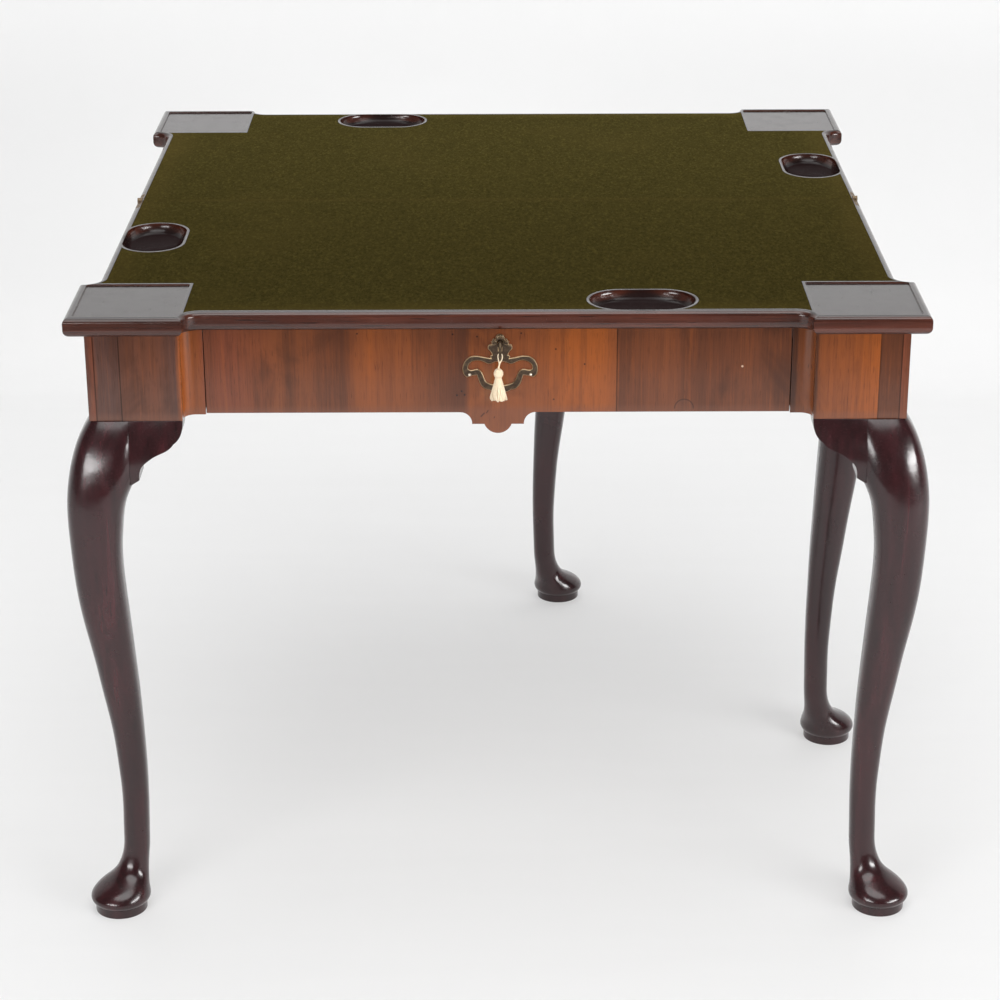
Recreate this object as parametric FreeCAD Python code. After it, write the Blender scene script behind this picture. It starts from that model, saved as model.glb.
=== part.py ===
import FreeCAD, Part
import math
import os

from FreeCAD import Vector

# A fold-over game table, opened for play, in millimetres.
# The origin lies on the floor under the middle of the open top, where the two leaves meet.
# X runs to the right, Y to the back and Z up. The drawer is in the front.

# Overall sizes
TOP_HEIGHT = 720.0
LEAF_WIDTH = 914.0
LEAF_DEPTH = 457.0
LEAF_THICKNESS = 21.5
LEAF_JOINT_GAP = 0.4

# Leaf edge, turret corners and candle trays
TURRET_SIZE = 125.0
TURRET_PROJECTION = 21.0
COVE_STEP = 3.0
EDGE_TOP_ROUND_SHARE = 0.28
EDGE_BOTTOM_ROUND_SHARE = 0.4
TRAY_OUTER_RIM = 9.0
TRAY_INNER_RIM = 3.2
TRAY_DEPTH = 1.8
TRAY_CORNER_ROUND = 2.5

# Cloth let into the leaves
BAIZE_MARGIN = 7.5
BAIZE_THICKNESS = 1.2
BAIZE_CLEARANCE = 0.3

# Counter wells
WELL_LENGTH = 120.0
WELL_WIDTH = 75.0
WELL_RIM = 3.0
WELL_DEPTH = 11.0
WELL_COVE_SHARE = 0.9
WELL_ALONG = 155.0
WELL_EDGE_MARGIN = 3.0

# Leaf hinges
HINGE_RISE = 0.5
HINGE_KNUCKLE_RADIUS = 3.0
HINGE_KNUCKLE_CLEARANCE = 0.4
HINGE_KNUCKLE_GAP = 0.12
HINGE_PIN_RADIUS = 1.3
HINGE_STRAP_LENGTH = 30.0
HINGE_STRAP_THICKNESS = 3.0
HINGE_CLOTH_GAP = 0.8
HINGE_END_SETBACK = 1.0
HINGE_SCREW_RADIUS = 1.0
HINGE_SCREW_HEAD_RADIUS = 1.9
HINGE_SCREW_LENGTH = 12.0
HINGE_SCREW_SINK = 0.9
HINGE_SCREW_SHARES = (0.36, 0.76)

# Frame: turret blocks and rails
BLOCK_OVERHANG = 19.0
BLOCK_SIZE = 100.0
BLOCK_COVE = 13.0
BLOCK_STRIP = 10.0
FRIEZE_SETBACK = 20.0
RAIL_HEIGHT = 99.5
RAIL_THICKNESS = 20.0
TOP_RAIL_DEPTH = 38.0
TOP_RAIL_THICKNESS = 14.0
TOP_RAIL_INSET = 2.0
GLUE_BLOCK_SIZE = 18.0
GLUE_BLOCK_LENGTH = 70.0
GLUE_BLOCK_PLACE_SHARES = (0.25, 0.75)
TOP_SCREW_RADIUS = 2.5
TOP_SCREW_HEAD_RADIUS = 5.0
TOP_SCREW_HEAD_HEIGHT = 3.0
TOP_SCREW_BITE = 9.0
TOP_SCREW_SPACING = 500.0

# Legs
LEG_STOCK = 70.0
PAD_RADIUS = 29.5
PAD_HEIGHT = 10.0
POST_SIZE = 34.0
POST_INSET = 7.0
POST_HEIGHT = 88.0
SECTION_POINTS = 32
EAR_ROOT_SHARE = 0.60
EAR_LENGTH = 58.0
EAR_DROP = 70.0
EAR_BACK = 26.0
EAR_TIP_SWELL_SHARE = 0.1

# Rear legs and swinging gate
REAR_LEG_PROUD = 10.0
REAR_INSET = 12.0
REAR_POST_SIZE = 48.0
REAR_POST_LAP = 30.0
FLY_RAIL_INSET = 18.0
FLY_RAIL_THICKNESS = 22.0
GATE_PIVOT_X = 41.25
GATE_SWING = 93.5
GATE_TOP_CLEARANCE = 0.6
GATE_REST_CLEARANCE = 0.8
GATE_PIN_RADIUS = 4.0
KNUCKLE_LAYERS = 5
KNUCKLE_SETBACK = 14.0
KNUCKLE_GAP = 0.4
RAIL_SCREW_RADIUS = 2.2
RAIL_SCREW_HEAD_RADIUS = 4.2
RAIL_SCREW_HEAD_HEIGHT = 2.5
RAIL_SCREW_BITE = 12.0
RAIL_SCREW_PLACE_SHARES = (0.2, 0.5, 0.8)

# Drawer
DRAWER_SIDE_GAP = 1.0
DRAWER_TOP_GAP = 1.0
DRAWER_BOTTOM_LIFT = 1.5
DRAWER_FRONT_THICKNESS = 20.0
DRAWER_BOX_INSET = 3.0
DRAWER_SIDE_THICKNESS = 10.0
DRAWER_SIDE_TOP_GAP = 4.0
DRAWER_BACK_THICKNESS = 10.0
DRAWER_BOTTOM_THICKNESS = 6.0
DRAWER_BOTTOM_RAISE = 4.0
DRAWER_GROOVE = 4.0
RUNNER_TOP = 12.7
RUNNER_WIDTH = 46.0
RUNNER_GAP = 0.3
RUNNER_BOTTOM_LIFT = 1.0
GUIDE_HEIGHT = 20.0
GUIDE_GAP = 0.4
STOP_WIDTH = 30.0
STOP_HEIGHT = 24.0
STOP_INSET = 72.0
STOP_DEPTH = 23.0
STOP_GAP = 0.3

# Shaped drop under the middle of the drawer front
DROP_HALF_WIDTH = 40.0
DROP_LEDGE_DEPTH = 13.5
DROP_LEDGE_HALF_WIDTH = 28.0
DROP_LOBE_RADIUS = 15.5
DROP_LOBE_DEPTH = 24.0

# Lock, lock plate and key
KEYHOLE_X = 2.5
KEYHOLE_DROP = 18.5
KEYHOLE_RADIUS = 3.0
KEYHOLE_SLOT_WIDTH = 3.2
KEYHOLE_SLOT_DROP = 9.0
PLATE_HALF_WIDTH = 40.4
PLATE_HEIGHT = 66.0
PLATE_THICKNESS = 1.6
PIN_HEAD_RADIUS = 1.7
PIN_RADIUS = 0.8
PIN_LENGTH = 8.0
PIN_ACROSS_SHARE = 0.81
PIN_DOWN_SHARE = 0.545
LOCK_WIDTH = 54.0
LOCK_HEIGHT = 38.0
LOCK_DEPTH = 11.0
LOCK_WALL = 1.2
LOCK_TOP_DROP = 3.0
LOCK_SCREW_RADIUS = 1.5
LOCK_SCREW_HEAD_RADIUS = 2.8
LOCK_SCREW_HEAD_HEIGHT = 1.2
LOCK_SCREW_BITE = 8.0
LOCK_SCREW_EDGE = 4.0
BOLT_WIDTH = 14.0
BOLT_THICKNESS = 4.0
BOLT_RISE_OVER_KEY = 4.0
BOLT_CLEARANCE = 0.3
BOLT_TRAVEL = 8.0
TALON_WIDTH = 2.5
TALON_DROP = 6.7
KEEPER_BORDER = 5.0
KEEPER_THICKNESS = 1.5
KEEPER_SLOT_CLEARANCE = 0.5
KEY_SHANK_RADIUS = 1.9
KEY_COLLAR_RADIUS = 3.0
KEY_COLLAR_LENGTH = 4.0
KEY_COLLAR_SETBACK = 8.0
KEY_BIT_REACH = 8.0
KEY_BIT_THICKNESS = 2.0
KEY_BIT_WIDTH = 5.0
KEY_BOW_RADIUS = 8.0
KEY_BOW_WIRE = 1.4
KEY_BOW_STANDOFF = 24.0

# Tassel and its cord loop
CORD_RADIUS = 0.75
CORD_HITCH_GAP = 0.35
CORD_DROP = 13.0
CORD_ENDS_APART = 1.8
CORD_SINK = 1.5
TASSEL_LENGTH = 37.0
TASSEL_SKIRT_RADIUS = 9.2

# Shared fits
RUNNING_CLEARANCE = 0.06
CUT_OVERRUN = 6.0
TOUCH = 1e-6

# Leg outline from the knee down to the pad: height above the pad as a share of the leg, then the outer and
# inner reach from the corner as shares of the stock, then how square the section is (2 is round).
LEG_SHARES = (
    (1.000, 0.030, -0.740, 4.0),
    (0.975, 0.160, -0.740, 3.5),
    (0.937, 0.290, -0.735, 3.0),
    (0.891, 0.380, -0.660, 2.8),
    (0.847, 0.417, -0.500, 2.7),
    (0.796, 0.417, -0.420, 2.7),
    (0.745, 0.397, -0.383, 2.8),
    (0.679, 0.363, -0.390, 2.9),
    (0.601, 0.286, -0.426, 2.9),
    (0.523, 0.179, -0.459, 2.9),
    (0.443, 0.084, -0.493, 2.8),
    (0.363, -0.011, -0.513, 2.7),
    (0.282, -0.066, -0.526, 2.6),
    (0.204, -0.093, -0.521, 2.4),
    (0.136, -0.080, -0.504, 2.3),
    (0.0985, -0.061, -0.490, 2.2),
    (0.0747, -0.006, -0.471, 2.1),
    (0.0543, 0.100, -0.466, 2.0),
    (0.0357, 0.320, -0.475, 2.0),
    (0.0217, 0.445, -0.490, 2.0),
    (0.0115, 0.478, -0.498, 2.0),
    (0.0050, 0.458, -0.478, 2.0),
    (0.0000, 0.420, -0.440, 2.0),
)

# Knee ear outline: way along the rail as a share of its length, way down as a share of its drop.
EAR_TOE_SHARES = ((1.000, 0.000), (0.983, 0.143), (0.914, 0.286), (0.810, 0.371))
EAR_SCROLL_SHARES = ((0.810, 0.371), (0.638, 0.486), (0.466, 0.543), (0.328, 0.614), (0.217, 0.700),
                     (0.172, 0.814), (0.166, 0.914))

# Lock plate outline, left half, from the top of the shell round to the bottom point: shares of the half
# width and of the height, measured from the keyhole. Each row is one smooth curve.
PLATE_EDGE_SHARES = (
    ((0.000, 0.140), (-0.061, 0.132), (-0.105, 0.102), (-0.122, 0.058)),
    ((-0.122, 0.058), (-0.180, 0.054), (-0.218, 0.016), (-0.224, -0.030)),
    ((-0.224, -0.030), (-0.285, -0.036), (-0.325, -0.078), (-0.305, -0.122)),
    ((-0.305, -0.122), (-0.245, -0.165), (-0.213, -0.215)),
    ((-0.213, -0.215), (-0.262, -0.232), (-0.250, -0.268)),
    ((-0.250, -0.268), (-0.480, -0.242), (-0.644, -0.227), (-0.817, -0.248), (-0.948, -0.333),
     (-1.000, -0.436), (-0.973, -0.536), (-0.875, -0.595)),
    ((-0.875, -0.595), (-0.750, -0.568), (-0.614, -0.559)),
    ((-0.614, -0.559), (-0.582, -0.621), (-0.515, -0.724), (-0.413, -0.788), (-0.297, -0.803)),
    ((-0.297, -0.803), (-0.205, -0.840), (0.000, -0.860)),
)
PLATE_PIERCING_SHARES = (
    ((0.000, -0.345), (-0.146, -0.333), (-0.280, -0.364), (-0.446, -0.326), (-0.594, -0.303),
     (-0.743, -0.326), (-0.832, -0.379), (-0.849, -0.448)),
    ((-0.849, -0.448), (-0.755, -0.470), (-0.594, -0.455), (-0.495, -0.500), (-0.431, -0.591),
     (-0.347, -0.682), (-0.230, -0.715), (0.000, -0.755)),
)

# Tassel outline from the top of the head down: radius as a share of the skirt's, then drop as a share of
# its length.
TASSEL_NECK_SHARES = (0.34, 0.03)
TASSEL_HEAD_SHARES = (0.588, 0.155)
TASSEL_WAIST_SHARES = (0.40, 0.29)
TASSEL_FLARE_SHARES = (0.70, 0.66)

# Places worked out from the sizes above
HALF_WIDTH = LEAF_WIDTH / 2
UNDERSIDE = TOP_HEIGHT - LEAF_THICKNESS
HALF_JOINT = LEAF_JOINT_GAP / 2
EDGE_X = HALF_WIDTH - TURRET_PROJECTION
EDGE_Y = LEAF_DEPTH - TURRET_PROJECTION
TURRET_X = HALF_WIDTH - TURRET_SIZE
TURRET_Y = LEAF_DEPTH - TURRET_SIZE
COVE_RADIUS = TURRET_PROJECTION - COVE_STEP
TOP_ROUND = LEAF_THICKNESS * EDGE_TOP_ROUND_SHARE
BOTTOM_ROUND = LEAF_THICKNESS * EDGE_BOTTOM_ROUND_SHARE
CLOTH_X = EDGE_X - BAIZE_MARGIN
CLOTH_Y = EDGE_Y - BAIZE_MARGIN
CLOTH_BOTTOM = TOP_HEIGHT - BAIZE_THICKNESS
BLOCK_X = HALF_WIDTH - BLOCK_OVERHANG
BLOCK_Y = LEAF_DEPTH - BLOCK_OVERHANG
FRIEZE_X = BLOCK_X - FRIEZE_SETBACK
FRIEZE_Y = BLOCK_Y - FRIEZE_SETBACK
RAIL_X = FRIEZE_X - RAIL_THICKNESS
RAIL_BOTTOM = UNDERSIDE - RAIL_HEIGHT
BLOCK_IN_X = BLOCK_X - BLOCK_SIZE
BLOCK_IN_Y = BLOCK_Y - BLOCK_SIZE
OPENING_X = BLOCK_IN_X - BLOCK_COVE - BLOCK_STRIP
SIDE_RAIL_Y = BLOCK_IN_Y - BLOCK_COVE - BLOCK_STRIP
REAR_X = FRIEZE_X + REAR_LEG_PROUD
REAR_POST_X = REAR_X - REAR_POST_SIZE
BACK_Y = REAR_INSET + REAR_POST_LAP
BACK_RAIL_Y = BACK_Y + RAIL_THICKNESS
GATE_TOP = UNDERSIDE - GATE_TOP_CLEARANCE
KNUCKLE_RADIUS = FLY_RAIL_THICKNESS / 2
GATE_PIVOT_Y = -(FLY_RAIL_INSET + KNUCKLE_RADIUS)
EAR_ROOT = LEG_STOCK * EAR_ROOT_SHARE
HINGE_Z = TOP_HEIGHT + HINGE_RISE
HINGE_IN_X = CLOTH_X + HINGE_CLOTH_GAP
HINGE_OUT_X = EDGE_X - HINGE_END_SETBACK
STRAP_Z = TOP_HEIGHT - HINGE_STRAP_THICKNESS
STRAP_START = HINGE_KNUCKLE_RADIUS + HINGE_KNUCKLE_CLEARANCE
FRONT_BACK_Y = FRIEZE_Y - DRAWER_FRONT_THICKNESS
FRONT_HALF_WIDTH = OPENING_X - DRAWER_SIDE_GAP
FRONT_TOP = UNDERSIDE - DRAWER_TOP_GAP
FRONT_BOTTOM = RAIL_BOTTOM + DRAWER_BOTTOM_LIFT
BOX_X = OPENING_X - DRAWER_BOX_INSET
BOX_IN_X = BOX_X - DRAWER_SIDE_THICKNESS
BOX_END_Y = BACK_RAIL_Y + STOP_DEPTH
RUNNER_Z = RAIL_BOTTOM + RUNNER_TOP
SIDE_BOTTOM = RUNNER_Z + RUNNER_GAP
SIDE_TOP = UNDERSIDE - TOP_RAIL_THICKNESS - DRAWER_SIDE_TOP_GAP
TRAY_FLOOR_Z = SIDE_BOTTOM + DRAWER_BOTTOM_RAISE
TRAY_TOP_Z = TRAY_FLOOR_Z + DRAWER_BOTTOM_THICKNESS
TOP_RAIL_Y = BLOCK_IN_Y + TOP_RAIL_INSET
KEY_Z = UNDERSIDE - KEYHOLE_DROP
PLATE_Y = FRIEZE_Y + PLATE_THICKNESS
LOCK_TOP = FRONT_TOP - LOCK_TOP_DROP
LOCK_BOTTOM = LOCK_TOP - LOCK_HEIGHT
LOCK_LEFT = KEYHOLE_X - LOCK_WIDTH / 2
LOCK_RIGHT = KEYHOLE_X + LOCK_WIDTH / 2
LOCK_BACK_Y = FRONT_BACK_Y - LOCK_DEPTH
BOLT_FRONT_Y = FRONT_BACK_Y - (LOCK_DEPTH - BOLT_THICKNESS) / 2
BOLT_BACK_Y = BOLT_FRONT_Y - BOLT_THICKNESS
BOW_Y = FRIEZE_Y + KEY_BOW_STANDOFF
HITCH_Z = KEY_Z - KEY_BOW_RADIUS
TASSEL_TOP = HITCH_Z - CORD_DROP


# Building helpers
def box(x0, x1, y0, y1, z0, z1):
    """A box between two opposite corners."""
    return Part.makeBox(x1 - x0, y1 - y0, z1 - z0, Vector(x0, y0, z0))


def rod(radius, start, end):
    """A round bar from one point to another."""
    return Part.makeCylinder(radius, (end - start).Length, start, end - start)


def closed_wire(start, steps):
    """A closed wire: each step is a point, or a pair of a point on an arc and the arc's end."""
    edges = []
    here = start
    for step in list(steps) + [start]:
        if isinstance(step, tuple):
            edges.append(Part.Arc(here, step[0], step[1]).toShape())
            here = step[1]
        elif (step - here).Length > TOUCH:
            edges.append(Part.LineSegment(here, step).toShape())
            here = step
    return Part.Wire(edges)


def arc_to(centre, end, start):
    """The arc step from start to end about a centre, the short way round."""
    middle = (start - centre) + (end - centre)
    middle.normalize()
    return (centre + middle * (start - centre).Length, end)


def spline(points):
    """A smooth edge through points."""
    curve = Part.BSplineCurve()
    curve.interpolate(points)
    return curve.toShape()


def upright(wire, height):
    """A flat wire raised into a solid."""
    return Part.Face(wire).extrude(Vector(0, 0, height))


def flat_edges(shape, z, chosen):
    """The edges that lie flat at one height and that a test picks by their middle point."""
    picked = []
    for edge in shape.Edges:
        bounds = edge.BoundBox
        if abs(bounds.ZMin - z) < TOUCH and abs(bounds.ZMax - z) < TOUCH:
            if chosen(edge.CenterOfMass):
                picked.append(edge)
    return picked


def fused(shapes):
    """Several solids joined into one."""
    return shapes[0].multiFuse(shapes[1:]).removeSplitter()


def mirrored(shape):
    """The same piece on the other side of the table."""
    return shape.mirror(Vector(0, 0, 0), Vector(1, 0, 0))


def half_turned(shape):
    """The same piece half a turn round the middle of the table."""
    return shape.rotated(Vector(0, 0, 0), Vector(0, 0, 1), 180)


def gate_open(shape):
    """A piece of the gate, drawn closed against the frame, swung out to its working place."""
    return shape.rotated(Vector(GATE_PIVOT_X, GATE_PIVOT_Y, 0), Vector(0, 0, 1), -GATE_SWING)


# Top leaves
def rounded_edges(solid, chosen):
    """Round the chosen upper and lower edges of a leaf into its thumb moulding."""
    solid = solid.makeFillet(TOP_ROUND, flat_edges(solid, TOP_HEIGHT, chosen))
    return solid.makeFillet(BOTTOM_ROUND, flat_edges(solid, UNDERSIDE, chosen))


def leaf_blank():
    """The lower leaf's outside: a moulded slab met by a second one that coves in between the turrets."""
    slab = box(-HALF_WIDTH, HALF_WIDTH, -LEAF_DEPTH, -HALF_JOINT, UNDERSIDE, TOP_HEIGHT)
    slab = rounded_edges(slab, lambda middle: middle.y < -HALF_JOINT - TOUCH)
    out_x = HALF_WIDTH + CUT_OVERRUN
    out_y = -LEAF_DEPTH - CUT_OVERRUN

    def half(side):
        front_centre = Vector(side * (TURRET_X - COVE_RADIUS), -EDGE_Y - COVE_RADIUS, UNDERSIDE)
        side_centre = Vector(side * (EDGE_X + COVE_RADIUS), -TURRET_Y + COVE_RADIUS, UNDERSIDE)
        front_edge = Vector(front_centre.x, -EDGE_Y, UNDERSIDE)
        front_turret = Vector(side * TURRET_X, front_centre.y, UNDERSIDE)
        side_turret = Vector(side_centre.x, -TURRET_Y, UNDERSIDE)
        side_edge = Vector(side * EDGE_X, side_centre.y, UNDERSIDE)
        return front_centre, side_centre, [front_edge, front_turret, side_turret, side_edge]

    front_c, side_c, right = half(1)
    front_d, side_d, left = half(-1)
    wire = closed_wire(Vector(EDGE_X, -HALF_JOINT, UNDERSIDE), [
        Vector(-EDGE_X, -HALF_JOINT, UNDERSIDE), left[3], arc_to(side_d, left[2], left[3]),
        Vector(-out_x, -TURRET_Y, UNDERSIDE), Vector(-out_x, out_y, UNDERSIDE),
        Vector(-TURRET_X, out_y, UNDERSIDE), left[1], arc_to(front_d, left[0], left[1]),
        right[0], arc_to(front_c, right[1], right[0]), Vector(TURRET_X, out_y, UNDERSIDE),
        Vector(out_x, out_y, UNDERSIDE), Vector(out_x, -TURRET_Y, UNDERSIDE), right[2],
        arc_to(side_c, right[3], right[2])])
    inner = upright(wire, LEAF_THICKNESS)

    def moulded(middle):
        outside = abs(middle.x) > out_x - TOUCH or middle.y < out_y + TOUCH
        return not outside and middle.y < -HALF_JOINT - TOUCH

    return slab.common(rounded_edges(inner, moulded))


def stadium(centre, length, width, z0, height, turned):
    """A slot shape with round ends, lying along X, or along Y when turned."""
    radius = width / 2
    run = length / 2 - radius
    points = [Vector(run, -radius, z0), Vector(run, radius, z0), Vector(-run, radius, z0),
              Vector(-run, -radius, z0)]
    wire = closed_wire(points[0], [(Vector(run + radius, 0, z0), points[1]), points[2],
                                   (Vector(-run - radius, 0, z0), points[3])])
    shape = upright(wire, height)
    if turned:
        shape = shape.rotated(Vector(0, 0, 0), Vector(0, 0, 1), 90)
    return shape.translated(centre)


def well_places():
    """The two counter wells of the lower leaf: centre, and whether the well lies along Y."""
    reach = WELL_EDGE_MARGIN + WELL_WIDTH / 2
    return [(Vector(WELL_ALONG, -EDGE_Y + reach, 0), False), (Vector(-EDGE_X + reach, -WELL_ALONG, 0), True)]


def cloth_shape(inset, z0, height):
    """The cloth's area on the lower leaf, drawn in by an inset, clear of the turrets and well rims."""
    reach = COVE_RADIUS + BAIZE_MARGIN + inset
    edge_x = CLOTH_X - inset
    edge_y = CLOTH_Y - inset
    turret_x = TURRET_X - inset
    turret_y = TURRET_Y - inset
    cove_x = TURRET_X - COVE_RADIUS
    cove_y = EDGE_Y + COVE_RADIUS
    rise = math.sqrt(reach ** 2 - (COVE_RADIUS - inset) ** 2)
    side_cove_x = EDGE_X + COVE_RADIUS
    side_cove_y = TURRET_Y - COVE_RADIUS
    steps = []
    for side in (1, -1):
        front_centre = Vector(side * cove_x, -cove_y, z0)
        front_far = Vector(side * cove_x, -edge_y, z0)
        front_near = Vector(side * turret_x, -cove_y + rise, z0)
        side_centre = Vector(side * side_cove_x, -side_cove_y, z0)
        side_far = Vector(side * edge_x, -side_cove_y, z0)
        side_near = Vector(side * (side_cove_x - rise), -turret_y, z0)
        corner = Vector(side * turret_x, -turret_y, z0)
        run = [Vector(side * edge_x, -HALF_JOINT, z0), side_far, arc_to(side_centre, side_near, side_far),
               corner, front_near, arc_to(front_centre, front_far, front_near)]
        back = [front_far, arc_to(front_centre, front_near, front_far), corner, side_near,
                arc_to(side_centre, side_far, side_near), Vector(side * edge_x, -HALF_JOINT, z0)]
        steps += run if side == 1 else back
    cloth = upright(closed_wire(steps[0], steps[1:]), height)
    for centre, turned in well_places():
        rim = stadium(centre, WELL_LENGTH + 2 * inset, WELL_WIDTH + 2 * inset, z0 - CUT_OVERRUN,
                      height + 2 * CUT_OVERRUN, turned)
        cloth = cloth.cut(rim)
    return cloth


def tray_cutter(side):
    """The sunk candle tray of one turret."""
    x0 = TURRET_X + TRAY_INNER_RIM
    x1 = HALF_WIDTH - TRAY_OUTER_RIM
    y0 = -LEAF_DEPTH + TRAY_OUTER_RIM
    y1 = -TURRET_Y - TRAY_INNER_RIM
    tray = box(x0, x1, y0, y1, TOP_HEIGHT - TRAY_DEPTH, TOP_HEIGHT + CUT_OVERRUN)
    corners = [edge for edge in tray.Edges if edge.BoundBox.ZLength > TRAY_DEPTH]
    tray = tray.makeFillet(TRAY_CORNER_ROUND, corners)
    return tray if side > 0 else mirrored(tray)


def well_cutter(centre, turned):
    """The dished hollow of one counter well."""
    floor = TOP_HEIGHT - WELL_DEPTH
    dish = stadium(centre, WELL_LENGTH - 2 * WELL_RIM, WELL_WIDTH - 2 * WELL_RIM, floor,
                   WELL_DEPTH + CUT_OVERRUN, turned)
    return dish.makeFillet(WELL_DEPTH * WELL_COVE_SHARE, flat_edges(dish, floor, lambda middle: True))


def hinge_pocket(side):
    """The space let into the leaf's rim for one hinge strap."""
    pocket = box(HINGE_IN_X, HALF_WIDTH + CUT_OVERRUN, -HINGE_STRAP_LENGTH, CUT_OVERRUN, STRAP_Z,
                 TOP_HEIGHT + CUT_OVERRUN)
    return pocket if side > 0 else mirrored(pocket)


def hinge_screws(side, clear):
    """The two countersunk screws of one strap; with clear set, the holes that take them."""
    x = side * (HINGE_IN_X + HINGE_OUT_X) / 2
    head_top = TOP_HEIGHT - HINGE_SCREW_SINK
    head_bottom = head_top - (HINGE_SCREW_HEAD_RADIUS - HINGE_SCREW_RADIUS)
    tip = head_top - HINGE_SCREW_LENGTH
    end = TOP_HEIGHT + CUT_OVERRUN if clear else head_top
    screws = []
    for share in HINGE_SCREW_SHARES:
        y = -HINGE_STRAP_LENGTH * share
        profile = closed_wire(Vector(x, y, tip), [
            Vector(x, y + HINGE_SCREW_RADIUS, tip), Vector(x, y + HINGE_SCREW_RADIUS, head_bottom),
            Vector(x, y + HINGE_SCREW_HEAD_RADIUS, head_top), Vector(x, y + HINGE_SCREW_HEAD_RADIUS, end),
            Vector(x, y, end)])
        screws.append(Part.Face(profile).revolve(Vector(x, y, 0), Vector(0, 0, 1), 360))
    return screws


def hinge_strap(blank, side, layers):
    """One brass strap flush with the rim, with its share of the knuckles along the joint."""
    strap = blank.common(box(HINGE_IN_X, HALF_WIDTH, -HINGE_STRAP_LENGTH, -STRAP_START, STRAP_Z, TOP_HEIGHT))
    layer = (HINGE_OUT_X - HINGE_IN_X) / 3
    pieces = [strap]
    for index in layers:
        x0 = HINGE_IN_X + index * layer + HINGE_KNUCKLE_GAP / 2
        x1 = HINGE_IN_X + (index + 1) * layer - HINGE_KNUCKLE_GAP / 2
        pieces.append(box(x0, x1, -STRAP_START, 0, STRAP_Z, TOP_HEIGHT))
        pieces.append(rod(HINGE_KNUCKLE_RADIUS, Vector(x0, 0, HINGE_Z), Vector(x1, 0, HINGE_Z)))
    strap = fused(pieces)
    bore = rod(HINGE_PIN_RADIUS + RUNNING_CLEARANCE, Vector(HINGE_IN_X - CUT_OVERRUN, 0, HINGE_Z),
               Vector(HINGE_OUT_X + CUT_OVERRUN, 0, HINGE_Z))
    strap = strap.cut(bore)
    for hole in hinge_screws(1, True):
        strap = strap.cut(hole)
    return strap if side > 0 else mirrored(strap)


def hinge_pin(side):
    """The pin of one leaf hinge, as long as its knuckles."""
    inner = Vector(side * HINGE_IN_X, 0, HINGE_Z)
    outer = Vector(side * HINGE_OUT_X, 0, HINGE_Z)
    return rod(HINGE_PIN_RADIUS, inner, outer)


def leaf(blank):
    """A leaf with its trays, wells, cloth bed and hinge pockets."""
    cutters = [cloth_shape(0, CLOTH_BOTTOM, BAIZE_THICKNESS + CUT_OVERRUN)]
    cutters += [well_cutter(centre, turned) for centre, turned in well_places()]
    for side in (1, -1):
        cutters += [tray_cutter(side), hinge_pocket(side)] + hinge_screws(side, True)
    for cutter in cutters:
        blank = blank.cut(cutter)
    return blank


# Frame
def turret_block():
    """The right front turret block, coved back to the drawer opening and to the side rail."""
    z = RAIL_BOTTOM
    side_centre = Vector(FRIEZE_X + BLOCK_COVE, -BLOCK_IN_Y + BLOCK_COVE, z)
    front_centre = Vector(BLOCK_IN_X - BLOCK_COVE, -FRIEZE_Y - BLOCK_COVE, z)
    side_near = Vector(side_centre.x, -BLOCK_IN_Y, z)
    side_far = Vector(FRIEZE_X, side_centre.y, z)
    front_far = Vector(front_centre.x, -FRIEZE_Y, z)
    front_near = Vector(BLOCK_IN_X, front_centre.y, z)
    wire = closed_wire(Vector(BLOCK_X, -BLOCK_Y, z), [
        Vector(BLOCK_X, -BLOCK_IN_Y, z), side_near, arc_to(side_centre, side_far, side_near),
        Vector(FRIEZE_X, -SIDE_RAIL_Y, z), Vector(RAIL_X, -SIDE_RAIL_Y, z), Vector(RAIL_X, -BLOCK_IN_Y, z),
        Vector(BLOCK_IN_X, -BLOCK_IN_Y, z), Vector(BLOCK_IN_X, -FRONT_BACK_Y, z),
        Vector(OPENING_X, -FRONT_BACK_Y, z), Vector(OPENING_X, -FRIEZE_Y, z), front_far,
        arc_to(front_centre, front_near, front_far), Vector(BLOCK_IN_X, -BLOCK_Y, z)])
    return upright(wire, RAIL_HEIGHT).cut(front_post())


def front_post():
    """The square stump of a front leg that stands inside its turret block."""
    x1 = BLOCK_X - POST_INSET
    y0 = -BLOCK_Y + POST_INSET
    return box(x1 - POST_SIZE, x1, y0, y0 + POST_SIZE, RAIL_BOTTOM, RAIL_BOTTOM + POST_HEIGHT)


def side_rail():
    """The right side rail, from the turret block to the back corner."""
    return box(RAIL_X, FRIEZE_X, -SIDE_RAIL_Y, -BACK_Y, RAIL_BOTTOM, UNDERSIDE)


def back_rail():
    """The inner back rail between the side rails."""
    return box(-RAIL_X, RAIL_X, -BACK_RAIL_Y, -BACK_Y, RAIL_BOTTOM, UNDERSIDE)


def knuckles(layers, direction):
    """Rounded wooden knuckles of one half of the gate joint, with the links to its rail."""
    step = (GATE_TOP - RAIL_BOTTOM) / KNUCKLE_LAYERS
    pieces = []
    for index in layers:
        z0 = RAIL_BOTTOM + index * step + (KNUCKLE_GAP / 2 if index else 0)
        z1 = RAIL_BOTTOM + (index + 1) * step - (KNUCKLE_GAP / 2 if index + 1 < KNUCKLE_LAYERS else 0)
        ends = sorted((GATE_PIVOT_X, GATE_PIVOT_X + direction * KNUCKLE_SETBACK))
        pieces.append(box(ends[0], ends[1], GATE_PIVOT_Y - KNUCKLE_RADIUS, GATE_PIVOT_Y + KNUCKLE_RADIUS,
                          z0, z1))
        pieces.append(rod(KNUCKLE_RADIUS, Vector(GATE_PIVOT_X, GATE_PIVOT_Y, z0),
                          Vector(GATE_PIVOT_X, GATE_PIVOT_Y, z1)))
    return pieces


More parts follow.
